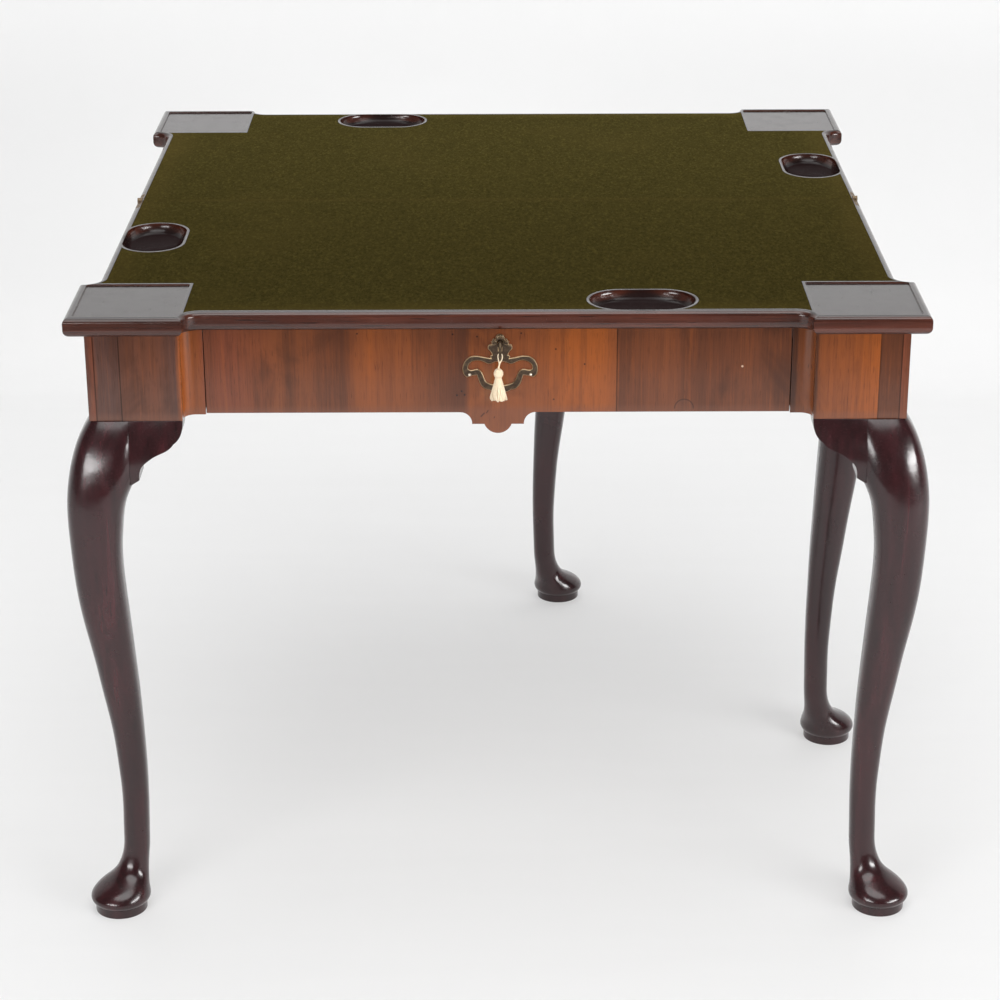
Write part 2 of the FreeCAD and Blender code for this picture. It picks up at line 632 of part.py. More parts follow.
def gate_pin(clearance, overrun):
    """The iron pin of the gate, or with a clearance the bore that takes it."""
    return rod(GATE_PIN_RADIUS + clearance, Vector(GATE_PIVOT_X, GATE_PIVOT_Y, RAIL_BOTTOM - overrun),
               Vector(GATE_PIVOT_X, GATE_PIVOT_Y, GATE_TOP + overrun))


def fixed_hinge_rail():
    """The rail glued behind the back rail, ending in the fixed knuckles."""
    body = box(GATE_PIVOT_X + KNUCKLE_SETBACK, REAR_POST_X, -BACK_Y, -FLY_RAIL_INSET, RAIL_BOTTOM, UNDERSIDE)
    rail = fused([body] + knuckles(range(0, KNUCKLE_LAYERS, 2), 1))
    rail = rail.cut(gate_pin(RUNNING_CLEARANCE, CUT_OVERRUN))
    for screw in hinge_rail_screws():
        rail = rail.cut(screw)
    return rail


def hinge_rail_screws():
    """Screws that hold the fixed hinge rail to the back rail."""
    start = GATE_PIVOT_X + KNUCKLE_SETBACK
    z = RAIL_BOTTOM + RAIL_HEIGHT / 2
    screws = []
    for share in RAIL_SCREW_PLACE_SHARES:
        x = start + (REAR_POST_X - start) * share
        head = rod(RAIL_SCREW_HEAD_RADIUS, Vector(x, -FLY_RAIL_INSET - RAIL_SCREW_HEAD_HEIGHT, z),
                   Vector(x, -FLY_RAIL_INSET, z))
        shank = rod(RAIL_SCREW_RADIUS, Vector(x, -BACK_Y - RAIL_SCREW_BITE, z),
                    Vector(x, -FLY_RAIL_INSET - RAIL_SCREW_HEAD_HEIGHT, z))
        screws.append(fused([head, shank]))
    return screws


def fly_rail():
    """The swinging rail of the gate, drawn closed, ending in the moving knuckles."""
    body = box(-REAR_POST_X, GATE_PIVOT_X - KNUCKLE_SETBACK, GATE_PIVOT_Y - KNUCKLE_RADIUS,
               GATE_PIVOT_Y + KNUCKLE_RADIUS, RAIL_BOTTOM, GATE_TOP)
    rail = fused([body] + knuckles(range(1, KNUCKLE_LAYERS, 2), -1))
    return rail.cut(gate_pin(RUNNING_CLEARANCE, CUT_OVERRUN))


def front_top_rail():
    """The tie between the turret blocks, over the drawer."""
    return box(-BLOCK_IN_X, BLOCK_IN_X, -TOP_RAIL_Y - TOP_RAIL_DEPTH, -TOP_RAIL_Y,
               UNDERSIDE - TOP_RAIL_THICKNESS, UNDERSIDE)


def top_screws():
    """Screws up through the front tie into the lower leaf."""
    y = -TOP_RAIL_Y - TOP_RAIL_DEPTH / 2
    z0 = UNDERSIDE - TOP_RAIL_THICKNESS
    screws = []
    for side in (1, -1):
        x = side * TOP_SCREW_SPACING / 2
        neck = Vector(x, y, z0 + TOP_SCREW_HEAD_HEIGHT)
        head = rod(TOP_SCREW_HEAD_RADIUS, Vector(x, y, z0), neck)
        shank = rod(TOP_SCREW_RADIUS, neck, Vector(x, y, UNDERSIDE + TOP_SCREW_BITE))
        screws.append(fused([head, shank]))
    return screws


def glue_blocks():
    """Three-cornered blocks in the angle between the leaf and the side rails."""
    blocks = []
    for share in GLUE_BLOCK_PLACE_SHARES:
        y = -SIDE_RAIL_Y + (SIDE_RAIL_Y - BACK_RAIL_Y) * share - GLUE_BLOCK_LENGTH / 2
        corner = Vector(RAIL_X, y, UNDERSIDE)
        inward = corner - Vector(GLUE_BLOCK_SIZE, 0, 0)
        downward = corner - Vector(0, 0, GLUE_BLOCK_SIZE)
        wire = closed_wire(corner, [inward, downward])
        block = Part.Face(wire).extrude(Vector(0, GLUE_BLOCK_LENGTH, 0))
        blocks += [block, mirrored(block)]
    return blocks


# Legs and knee ears, drawn at the right front corner with the leg's outer corner on the Z axis
def leg_height(share):
    """Height on the leg for a share of the way from its pad to the rail."""
    return PAD_HEIGHT + share * (RAIL_BOTTOM - PAD_HEIGHT)


def leg_section(share, outer_share, inner_share, squareness):
    """One closed section of the leg, a rounded square set out along the corner's diagonal."""
    half = LEG_STOCK * (outer_share - inner_share) / 2
    middle = LEG_STOCK * (outer_share + inner_share) / 2
    points = []
    for index in range(SECTION_POINTS):
        angle = 2 * math.pi * index / SECTION_POINTS
        across = math.copysign(abs(math.cos(angle)) ** (2 / squareness), math.cos(angle))
        along = math.copysign(abs(math.sin(angle)) ** (2 / squareness), math.sin(angle))
        points.append(Vector(middle + half * across, -middle + half * along, leg_height(share)))
    curve = Part.BSplineCurve()
    curve.interpolate(points, PeriodicFlag=True)
    return Part.Wire(curve.toShape())


def cabriole_leg():
    """A cabriole leg on its pad, trimmed flat at the top where knee ears are glued."""
    shaft = Part.makeLoft([leg_section(*row) for row in LEG_SHARES], True, False)
    pad_middle = LEG_STOCK * (LEG_SHARES[-1][1] + LEG_SHARES[-1][2]) / 2
    pad = rod(PAD_RADIUS, Vector(pad_middle, -pad_middle, 0), Vector(pad_middle, -pad_middle, PAD_HEIGHT))
    ear_bottom = RAIL_BOTTOM - EAR_DROP
    top = RAIL_BOTTOM + CUT_OVERRUN
    along_x = box(-LEG_STOCK - EAR_ROOT, -EAR_ROOT, -LEG_STOCK, LEG_STOCK + EAR_ROOT, ear_bottom, top)
    along_y = box(-LEG_STOCK - EAR_ROOT, LEG_STOCK, EAR_ROOT, LEG_STOCK + EAR_ROOT, ear_bottom, top)
    return shaft.cut(along_x).cut(along_y).fuse(pad)


def ear_joint_reach(share, outer_share, inner_share, squareness):
    """How far the leg stands out from the corner's face where its ear is glued on."""
    half = LEG_STOCK * (outer_share - inner_share) / 2
    middle = LEG_STOCK * (outer_share + inner_share) / 2
    across = min(abs(EAR_ROOT + middle) / half, 1)
    return middle + half * (1 - across ** squareness) ** (1 / squareness)


def ear_swell(x, swell_share, setback):
    """A section of the ear's front, bulging like the knee beside it by a share of the knee's swell."""
    bottom = len([row for row in LEG_SHARES if leg_height(row[0]) > RAIL_BOTTOM - EAR_DROP]) + 1
    front = [Vector(x, setback - swell_share * ear_joint_reach(*row), leg_height(row[0]))
             for row in LEG_SHARES[:bottom]]
    low = Vector(x, EAR_BACK, front[-1].z)
    high = Vector(x, EAR_BACK, RAIL_BOTTOM)
    return Part.Wire([spline(front), Part.LineSegment(front[-1], low).toShape(),
                      Part.LineSegment(low, high).toShape(), Part.LineSegment(high, front[0]).toShape()])


def knee_ear(tip_setback):
    """The scrolled bracket beside the knee, on the leg's front, dying back to the rail's face."""
    def spot(shares):
        return Vector(-EAR_ROOT - EAR_LENGTH * shares[0], -LEG_STOCK, RAIL_BOTTOM - EAR_DROP * shares[1])

    toe = [spot(shares) for shares in EAR_TOE_SHARES]
    scroll = [spot(shares) for shares in EAR_SCROLL_SHARES]
    above = Vector(0, 0, CUT_OVERRUN)
    run = [scroll[-1], spot((0, 1)), spot((0, 0)) + above, toe[0] + above, toe[0]]
    edges = [Part.LineSegment(start, end).toShape() for start, end in zip(run, run[1:])]
    wire = Part.Wire([spline(toe), spline(scroll)] + edges)
    outline = Part.Face(wire).extrude(Vector(0, LEG_STOCK + EAR_BACK + CUT_OVERRUN, 0))

    def section(way):
        swell_share = 1 + (EAR_TIP_SWELL_SHARE - 1) * way
        return ear_swell(-EAR_ROOT - EAR_LENGTH * way, swell_share, tip_setback * way)

    past = CUT_OVERRUN / EAR_LENGTH
    return outline.common(Part.makeLoft([section(-past), section(1 + past)], True, True))


def side_ear(ear):
    """The ear carried over to the leg's other face, across the corner's diagonal."""
    return ear.mirror(Vector(0, 0, 0), Vector(1, 1, 0))


def front_corner(shape):
    """A leg piece set at the right front turret."""
    return shape.translated(Vector(BLOCK_X, -BLOCK_Y, 0))


def rear_corner(shape):
    """A leg piece turned to face backwards and set at the right rear corner."""
    return shape.rotated(Vector(0, 0, 0), Vector(0, 0, 1), 90).translated(Vector(REAR_X, -REAR_INSET, 0))


def rear_post(clearance, top):
    """The stile of a rear leg, rebated round the frame's corner."""
    z = RAIL_BOTTOM
    lap_y = -BACK_Y + clearance
    lap_x = FRIEZE_X + clearance
    end_y = -REAR_INSET - REAR_POST_SIZE
    wire = closed_wire(Vector(REAR_X, -REAR_INSET, z), [
        Vector(REAR_POST_X, -REAR_INSET, z), Vector(REAR_POST_X, lap_y, z), Vector(lap_x, lap_y, z),
        Vector(lap_x, end_y, z), Vector(REAR_X, end_y, z)])
    return upright(wire, top - z)


# Drawer
def drawer_front():
    """The drawer front with the shaped drop in the middle of its lower edge."""
    y = -FRIEZE_Y
    ledge = FRONT_BOTTOM - DROP_LEDGE_DEPTH
    lobe_end = math.sqrt(DROP_LOBE_RADIUS ** 2 - (DROP_LOBE_RADIUS - DROP_LOBE_DEPTH + DROP_LEDGE_DEPTH) ** 2)

    def spot(x, z):
        return Vector(x, y, z)

    swing = math.cos(math.pi / 4)
    width = DROP_HALF_WIDTH - DROP_LEDGE_HALF_WIDTH
    left_mid = spot(-DROP_HALF_WIDTH + width * swing, ledge + DROP_LEDGE_DEPTH * swing)
    right_mid = spot(DROP_HALF_WIDTH - width * swing, ledge + DROP_LEDGE_DEPTH * swing)
    wire = closed_wire(spot(-FRONT_HALF_WIDTH, FRONT_TOP), [
        spot(-FRONT_HALF_WIDTH, FRONT_BOTTOM), spot(-DROP_HALF_WIDTH, FRONT_BOTTOM),
        (left_mid, spot(-DROP_LEDGE_HALF_WIDTH, ledge)), spot(-lobe_end, ledge),
        (spot(0, FRONT_BOTTOM - DROP_LOBE_DEPTH), spot(lobe_end, ledge)), spot(DROP_LEDGE_HALF_WIDTH, ledge),
        (right_mid, spot(DROP_HALF_WIDTH, FRONT_BOTTOM)), spot(FRONT_HALF_WIDTH, FRONT_BOTTOM),
        spot(FRONT_HALF_WIDTH, FRONT_TOP)])
    front = Part.Face(wire).extrude(Vector(0, DRAWER_FRONT_THICKNESS, 0)).cut(keyhole())
    for pin in escutcheon_pins():
        front = front.cut(pin)
    for screw in lock_screws():
        front = front.cut(screw)
    return front


def drawer_side():
    """The right drawer side, grooved for the bottom."""
    side = box(BOX_IN_X, BOX_X, -FRONT_BACK_Y, -BOX_END_Y, SIDE_BOTTOM, SIDE_TOP)
    return side.cut(drawer_bottom())


def drawer_bottom():
    """The drawer bottom, let into the sides and running under the back."""
    reach = BOX_IN_X + DRAWER_GROOVE
    return box(-reach, reach, -FRONT_BACK_Y, -BOX_END_Y, TRAY_FLOOR_Z, TRAY_TOP_Z)


def drawer_back():
    """The drawer back between the sides, standing on the bottom."""
    return box(-BOX_IN_X, BOX_IN_X, -BOX_END_Y - DRAWER_BACK_THICKNESS, -BOX_END_Y, TRAY_TOP_Z, SIDE_TOP)


def drawer_runner():
    """The right runner, from the turret block's strip to the back rail."""
    return box(BLOCK_IN_X - RUNNER_WIDTH, BLOCK_IN_X, -FRONT_BACK_Y, -BACK_RAIL_Y,
               RAIL_BOTTOM + RUNNER_BOTTOM_LIFT, RUNNER_Z)


def drawer_guide():
    """The right guide that stands on the runner beside the drawer."""
    return box(BOX_X + GUIDE_GAP, BLOCK_IN_X, -FRONT_BACK_Y, -BACK_RAIL_Y, RUNNER_Z, RUNNER_Z + GUIDE_HEIGHT)


def drawer_stops():
    """Blocks on the back rail that the closed drawer meets."""
    stops = []
    for side in (1, -1):
        x = side * (BOX_X - STOP_INSET)
        stops.append(box(x - STOP_WIDTH / 2, x + STOP_WIDTH / 2, -BOX_END_Y + STOP_GAP, -BACK_RAIL_Y,
                         TRAY_TOP_Z, TRAY_TOP_Z + STOP_HEIGHT))
    return stops


# Lock, plate, key and tassel
def keyhole():
    """The keyhole through the plate, the drawer front and the lock's front: a round with a slot below."""
    y0 = -PLATE_Y - CUT_OVERRUN
    y1 = -FRONT_BACK_Y + LOCK_WALL
    half = KEYHOLE_SLOT_WIDTH / 2
    slot = box(KEYHOLE_X - half, KEYHOLE_X + half, y0, y1, KEY_Z - KEYHOLE_SLOT_DROP, KEY_Z)
    return fused([rod(KEYHOLE_RADIUS, Vector(KEYHOLE_X, y0, KEY_Z), Vector(KEYHOLE_X, y1, KEY_Z)), slot])


def plate_wire(rows):
    """A closed outline of the lock plate from the smooth curves of its left half and their mirror."""
    def spot(shares, side):
        x = KEYHOLE_X + side * PLATE_HALF_WIDTH * shares[0]
        return Vector(x, -PLATE_Y, KEY_Z + PLATE_HEIGHT * shares[1])

    left = [spline([spot(shares, 1) for shares in row]) for row in rows]
    right = [spline([spot(shares, -1) for shares in row]) for row in rows]
    return Part.Wire(left + right[::-1])


def escutcheon_plate():
    """The pierced brass lock plate: a ribbed shell over two wings that curl down to a point."""
    outside = Part.Face(plate_wire(PLATE_EDGE_SHARES)).extrude(Vector(0, PLATE_THICKNESS, 0))
    inside = Part.Face(plate_wire(PLATE_PIERCING_SHARES)).extrude(Vector(0, PLATE_THICKNESS, 0))
    plate = outside.cut(inside).cut(keyhole())
    for pin in escutcheon_pins():
        plate = plate.cut(pin)
    return plate


def escutcheon_pins():
    """The two round-headed pins of the lock plate."""
    pins = []
    for side in (1, -1):
        x = KEYHOLE_X + side * PLATE_HALF_WIDTH * PIN_ACROSS_SHARE
        z = KEY_Z - PLATE_HEIGHT * PIN_DOWN_SHARE
        head = Part.makeSphere(PIN_HEAD_RADIUS, Vector(x, -PLATE_Y, z), Vector(0, -1, 0), 0, 90, 360)
        shank = rod(PIN_RADIUS, Vector(x, -PLATE_Y, z), Vector(x, -FRIEZE_Y + PIN_LENGTH, z))
        pins.append(fused([head, shank]))
    return pins


def lock_case():
    """The lock's box behind the drawer front, open at the back, slotted above for the bolt."""
    case = box(LOCK_LEFT, LOCK_RIGHT, -FRONT_BACK_Y, -LOCK_BACK_Y, LOCK_BOTTOM, LOCK_TOP)
    hollow = box(LOCK_LEFT + LOCK_WALL, LOCK_RIGHT - LOCK_WALL, -FRONT_BACK_Y + LOCK_WALL, -LOCK_BACK_Y,
                 LOCK_BOTTOM + LOCK_WALL, LOCK_TOP - LOCK_WALL)
    case = case.cut(hollow).cut(bolt_way(BOLT_CLEARANCE, LOCK_TOP - LOCK_WALL, LOCK_TOP)).cut(keyhole())
    for screw in lock_screws():
        case = case.cut(screw)
    return case


def bolt_way(clearance, z0, z1):
    """The upright way that the bolt slides in."""
    half = BOLT_WIDTH / 2 + clearance
    return box(KEYHOLE_X - half, KEYHOLE_X + half, -BOLT_FRONT_Y - clearance, -BOLT_BACK_Y + clearance,
               z0, z1)


def lock_cover():
    """The lock's back plate, bored for the tip of the key."""
    cover = box(LOCK_LEFT, LOCK_RIGHT, -LOCK_BACK_Y, -LOCK_BACK_Y + LOCK_WALL, LOCK_BOTTOM, LOCK_TOP)
    cover = cover.cut(rod(KEY_SHANK_RADIUS + RUNNING_CLEARANCE, Vector(KEYHOLE_X, -FRONT_BACK_Y, KEY_Z),
                          Vector(KEYHOLE_X, -LOCK_BACK_Y + LOCK_WALL, KEY_Z)))
    for screw in lock_screws():
        cover = cover.cut(screw)
    return cover


def lock_screws():
    """The two screws that hold the lock to the drawer front."""
    y = -LOCK_BACK_Y + LOCK_WALL
    screws = []
    for x in (LOCK_LEFT + LOCK_SCREW_EDGE, LOCK_RIGHT - LOCK_SCREW_EDGE):
        shank = rod(LOCK_SCREW_RADIUS, Vector(x, -FRONT_BACK_Y - LOCK_SCREW_BITE, KEY_Z), Vector(x, y, KEY_Z))
        head = rod(LOCK_SCREW_HEAD_RADIUS, Vector(x, y, KEY_Z), Vector(x, y + LOCK_SCREW_HEAD_HEIGHT, KEY_Z))
        screws.append(fused([shank, head]))
    return screws


def lock_bolt():
    """The bolt, down in its case, with the talon that the key lifts."""
    bar = bolt_way(0, KEY_Z + BOLT_RISE_OVER_KEY, LOCK_TOP)
    x1 = KEYHOLE_X - KEY_BIT_REACH + TALON_WIDTH
    talon_top = LOCK_TOP - LOCK_WALL - BOLT_TRAVEL - BOLT_CLEARANCE
    talon = box(x1 - TALON_WIDTH, x1, -BOLT_FRONT_Y, -BOLT_BACK_Y, KEY_Z - TALON_DROP, talon_top)
    return fused([bar, talon])


def lock_keeper():
    """The slotted plate let into the leaf's underside over the bolt."""
    plate = bolt_way(KEEPER_BORDER, UNDERSIDE, UNDERSIDE + KEEPER_THICKNESS)
    return plate.cut(bolt_way(KEEPER_SLOT_CLEARANCE, UNDERSIDE, UNDERSIDE + KEEPER_THICKNESS))


def keeper_mortise():
    """The space in the leaf for the keeper and the raised bolt."""
    plate = bolt_way(KEEPER_BORDER, UNDERSIDE - CUT_OVERRUN, UNDERSIDE + KEEPER_THICKNESS)
    bolt_top = LOCK_TOP + BOLT_TRAVEL + KEEPER_SLOT_CLEARANCE
    return fused([plate, bolt_way(KEEPER_SLOT_CLEARANCE, UNDERSIDE, bolt_top)])


def key():
    """The key in its lock: bow ring upright in front, shank, collar and bit."""
    bow = Part.makeTorus(KEY_BOW_RADIUS, KEY_BOW_WIRE, Vector(KEYHOLE_X, -BOW_Y, KEY_Z), Vector(1, 0, 0))
    start = -BOW_Y + KEY_BOW_RADIUS
    tip = -LOCK_BACK_Y + LOCK_WALL
    shank = rod(KEY_SHANK_RADIUS, Vector(KEYHOLE_X, start, KEY_Z), Vector(KEYHOLE_X, tip, KEY_Z))
    collar_y = -PLATE_Y - KEY_COLLAR_SETBACK
    collar = rod(KEY_COLLAR_RADIUS, Vector(KEYHOLE_X, collar_y, KEY_Z),
                 Vector(KEYHOLE_X, collar_y + KEY_COLLAR_LENGTH, KEY_Z))
    half = KEY_BIT_THICKNESS / 2
    bit_y = -(BOLT_FRONT_Y + BOLT_BACK_Y) / 2 - KEY_BIT_WIDTH / 2
    bit = box(KEYHOLE_X - half, KEYHOLE_X + half, bit_y, bit_y + KEY_BIT_WIDTH, KEY_Z - KEY_BIT_REACH, KEY_Z)
    return fused([bow, shank, collar, bit])


def tassel_cord():
    """The cord loop: out of the tassel's head, round the key's bow and back, as straight runs and one arc."""
    radius = KEY_BOW_WIRE + CORD_HITCH_GAP + CORD_RADIUS
    drop = CORD_DROP + CORD_SINK
    reach = math.hypot(CORD_ENDS_APART / 2, drop)
    lean = math.asin(radius / reach) - math.asin(CORD_ENDS_APART / 2 / reach)
    hitch = Vector(KEYHOLE_X, -BOW_Y, HITCH_Z)
    start = hitch + Vector(-CORD_ENDS_APART / 2, 0, -drop)
    end = hitch + Vector(CORD_ENDS_APART / 2, 0, -drop)
    left = hitch + Vector(-radius * math.cos(lean), 0, -radius * math.sin(lean))
    right = hitch + Vector(radius * math.cos(lean), 0, -radius * math.sin(lean))
    top = hitch + Vector(0, 0, radius)
    path = Part.Wire([Part.LineSegment(start, left).toShape(), Part.Arc(left, top, right).toShape(),
                      Part.LineSegment(right, end).toShape()])
    section = Part.Wire(Part.Circle(start, left - start, CORD_RADIUS).toShape())
    cord = path.makePipeShell([section], True, True)
    print("tassel cord: bend radius %.2f, length %.1f, tube volume %.2f against section times length %.2f" % (
        radius, path.Length, cord.Volume, math.pi * CORD_RADIUS ** 2 * path.Length))
    return cord


def tassel(cord):
    """The tassel: a knotted head, a bound waist and a flared skirt, hollowed where the cord enters."""
    def spot(shares):
        x = KEYHOLE_X + TASSEL_SKIRT_RADIUS * shares[0]
        return Vector(x, -BOW_Y, TASSEL_TOP - TASSEL_LENGTH * shares[1])

    neck = spot(TASSEL_NECK_SHARES)
    waist = spot(TASSEL_WAIST_SHARES)
    hem = spot((1, 1))
    top = spot((0, TASSEL_NECK_SHARES[1]))
    bottom = spot((0, 1))
    wire = Part.Wire([Part.LineSegment(top, neck).toShape(),
                      Part.Arc(neck, spot(TASSEL_HEAD_SHARES), waist).toShape(),
                      Part.Arc(waist, spot(TASSEL_FLARE_SHARES), hem).toShape(),
                      Part.LineSegment(hem, bottom).toShape(), Part.LineSegment(bottom, top).toShape()])
    body = Part.Face(wire).revolve(top, Vector(0, 0, 1), 360)
    return body.cut(cord)


def write(name, shapes):
    """Write one node, a solid or a group of separate like solids."""
    shape = Part.makeCompound(shapes) if isinstance(shapes, list) else shapes
    shape.exportStep("parts/%s.step" % name)


def main():
    """Make every node of the table."""
    os.makedirs("parts", exist_ok=True)
    blank = leaf_blank()
    dished = leaf(blank)
    lower = dished.cut(keeper_mortise())
    for screw in top_screws():
        lower = lower.cut(screw)
    write("lower_leaf", lower)
    write("upper_leaf", half_turned(dished))
    cloth = cloth_shape(BAIZE_CLEARANCE, CLOTH_BOTTOM, BAIZE_THICKNESS)
    write("lower_baize", cloth)
    write("upper_baize", half_turned(cloth))
    for name, side in (("right", 1), ("left", -1)):
        write(name + "_leaf_hinge_fixed", hinge_strap(blank, side, (0, 2)))
        write(name + "_leaf_hinge_moving", half_turned(hinge_strap(blank, -side, (1,))))
        write(name + "_leaf_hinge_pin", hinge_pin(side))
    strap_screws = hinge_screws(1, False) + hinge_screws(-1, False)
    write("leaf_hinge_screws_fixed", strap_screws)
    write("leaf_hinge_screws_moving", [half_turned(screw) for screw in strap_screws])

    block = turret_block()
    rail = side_rail()
    back = back_rail()
    for screw in hinge_rail_screws():
        back = back.cut(screw)
    tie = front_top_rail()
    for screw in top_screws():
        tie = tie.cut(screw)
    write("front_right_turret", block)
    write("front_left_turret", mirrored(block))
    write("right_side_rail", rail)
    write("left_side_rail", mirrored(rail))
    write("back_rail", back)
    write("fixed_hinge_rail", fixed_hinge_rail())
    write("hinge_rail_screws", hinge_rail_screws())
    write("gate_pin", gate_pin(0, 0))
    write("front_top_rail", tie)
    write("top_screws", top_screws())
    write("glue_blocks", glue_blocks())
    write("lock_keeper", lock_keeper())

    leg = cabriole_leg()
    front_leg = front_corner(leg).fuse(front_post())
    write("front_right_leg", front_leg)
    write("front_left_leg", mirrored(front_leg))
    ear = knee_ear(0)
    for name, piece in (("front_ear", front_corner(ear)), ("side_ear", front_corner(side_ear(ear)))):
        write("front_right_" + name, piece)
        write("front_left_" + name, mirrored(piece))
    write("rear_right_leg", rear_corner(leg).fuse(rear_post(0, UNDERSIDE)))
    write("rear_right_ear", rear_corner(knee_ear(REAR_LEG_PROUD)))
    gate_leg = mirrored(rear_corner(leg).fuse(rear_post(GATE_REST_CLEARANCE, GATE_TOP)))
    gate_ear = mirrored(rear_corner(side_ear(knee_ear(FLY_RAIL_INSET - REAR_INSET))))
    write("gate_leg", gate_open(gate_leg))
    write("gate_ear", gate_open(gate_ear))
    write("fly_rail", gate_open(fly_rail()))

    write("right_drawer_runner", drawer_runner())
    write("left_drawer_runner", mirrored(drawer_runner()))
    write("right_drawer_guide", drawer_guide())
    write("left_drawer_guide", mirrored(drawer_guide()))
    write("drawer_stops", drawer_stops())
    write("drawer_front", drawer_front())
    write("drawer_right_side", drawer_side())
    write("drawer_left_side", mirrored(drawer_side()))
    write("drawer_back", drawer_back())
    write("drawer_bottom", drawer_bottom())

    write("escutcheon_plate", escutcheon_plate())
    write("escutcheon_pins", escutcheon_pins())
    write("lock_case", lock_case())
    write("lock_cover", lock_cover())
    write("lock_screws", lock_screws())
    write("lock_bolt", lock_bolt())
    write("key", key())
    cord = tassel_cord()
    write("tassel_cord", cord)
    write("tassel", tassel(cord))


main()
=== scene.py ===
import math

import bmesh
import bpy
import numpy as np
from bpy.props import FloatProperty, FloatVectorProperty, IntProperty, PointerProperty
from mathutils import Euler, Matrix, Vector


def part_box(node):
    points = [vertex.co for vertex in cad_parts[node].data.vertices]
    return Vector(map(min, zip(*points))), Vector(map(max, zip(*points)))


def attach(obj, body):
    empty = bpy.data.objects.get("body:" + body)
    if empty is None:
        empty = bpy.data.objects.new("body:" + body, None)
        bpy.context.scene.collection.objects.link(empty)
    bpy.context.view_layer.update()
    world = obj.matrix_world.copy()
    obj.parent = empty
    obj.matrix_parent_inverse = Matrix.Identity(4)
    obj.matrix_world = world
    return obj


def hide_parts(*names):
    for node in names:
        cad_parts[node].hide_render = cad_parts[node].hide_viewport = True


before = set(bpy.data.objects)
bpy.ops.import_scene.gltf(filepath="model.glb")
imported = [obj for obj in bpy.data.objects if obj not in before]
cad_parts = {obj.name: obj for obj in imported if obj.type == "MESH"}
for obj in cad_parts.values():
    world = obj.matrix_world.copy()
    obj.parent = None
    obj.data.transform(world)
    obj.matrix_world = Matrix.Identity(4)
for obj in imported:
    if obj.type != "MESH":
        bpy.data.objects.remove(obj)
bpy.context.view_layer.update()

bl_info = {
    "name": "Fold-over game table",
    "version": (1, 0, 0),
    "blender": (4, 5, 0),
    "location": "View3D > Sidebar > Game table",
    "description": "Cloth, polish, veneer, brass and a silk tassel for a fold-over game table",
    "category": "Add Mesh",
}

# Bed, face and joint line of the cloth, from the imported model
CLOTH_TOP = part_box("lower_baize")[1].z
CLOTH_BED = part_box("lower_baize")[0].z
CLOTH_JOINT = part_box("lower_baize")[1].y

# The cloth's outline beside turrets and wells, in metres
CLOTH_EDGE = 0.4282
TURRET_INNER = 0.3317
COVE_CENTRE_ALONG = 0.314
COVE_CENTRE_OUT = 0.454
COVE_REACH = 0.0258
WELL_ALONG = 0.155
WELL_OUT = 0.3955
WELL_HALF_LENGTH = 0.0603
WELL_HALF_WIDTH = 0.0378

# Shaded scoop of a well's bottom, and the lowest height that is a well's and not the underside's, in metres
WELL_SCOOP = 0.009
WELL_LOWEST = 0.7060

# Frieze: its lower edge, the faces that carry veneer, and the seams between the sheets, in metres
FRIEZE_BOTTOM = 0.607
DRAWER_FACE = -0.418
DRAWER_SEAMS = (0.1278,)
BLOCK_FACE = -0.438
LEFT_BLOCK_SEAMS = (-0.4295, -0.4025)
RIGHT_BLOCK_SEAMS = (0.4068, 0.4295)
RAIL_FACE = 0.418
RAIL_START = -0.320
RAIL_SPAN = 0.300
RAIL_SEAM_SHARE = 0.728

# Lock plate: its face, its keyhole, its chamfer and the ribs of its shell, in metres and degrees
PLATE_FACE_Y = -0.4196
KEYHOLE_X = 0.0025
KEYHOLE_Z = 0.680
PLATE_CHAMFER = 0.00075
SHELL_RIB_START = 0.0046
SHELL_RIB_WIDTH = 0.00085
SHELL_RIB_LIFT = 0.85
SHELL_RIB_SINK = 0.00005
SHELL_RIB_ANGLES = (58, 74, 90, 106, 122, 32, 148, 6, 174, -20, 200, 20, 160)
SHELL_RIB_ENDS = (0.0082, 0.0086, 0.0088, 0.0086, 0.0082, 0.0089, 0.0089, 0.0100, 0.0100, 0.0121, 0.0121,
                  0.0086, 0.0086)

# Tassel: its axis, the heights of its parts and the sizes of its neck and head, in metres
TASSEL_X = 0.0005
TASSEL_Y = -0.442
TASSEL_TOP = 0.6579
TASSEL_WAIST = 0.6483
TASSEL_HEM = 0.6220
NECK_RADIUS = 0.0027
HEAD_THREADS = 22
HEAD_THREAD_RADIUS = 0.00062

# Turn from one core thread to the next that spreads them evenly, in radians
GOLDEN_ANGLE = 2.39996

# Route of the tassel's cord loop over the bow of the key, in metres
CORD_ROUTE = (
    (0.0000, -0.4420, 0.6575),
    (0.0007, -0.4427, 0.6603),
    (0.0020, -0.4426, 0.6640),
    (0.0003, -0.4420, 0.6690),
    (0.0001, -0.4420, 0.6749),
    (0.0049, -0.4420, 0.6749),
    (0.0047, -0.4420, 0.6690),
    (0.0019, -0.4413, 0.6640),
    (0.0013, -0.4412, 0.6603),
    (0.0010, -0.4420, 0.6575),
)
CORD_DIAMETER = 0.0015
CORD_STRANDS = 3
CORD_STRAND_SHARE = 0.29
CORD_TWIST_PITCH = 0.0042

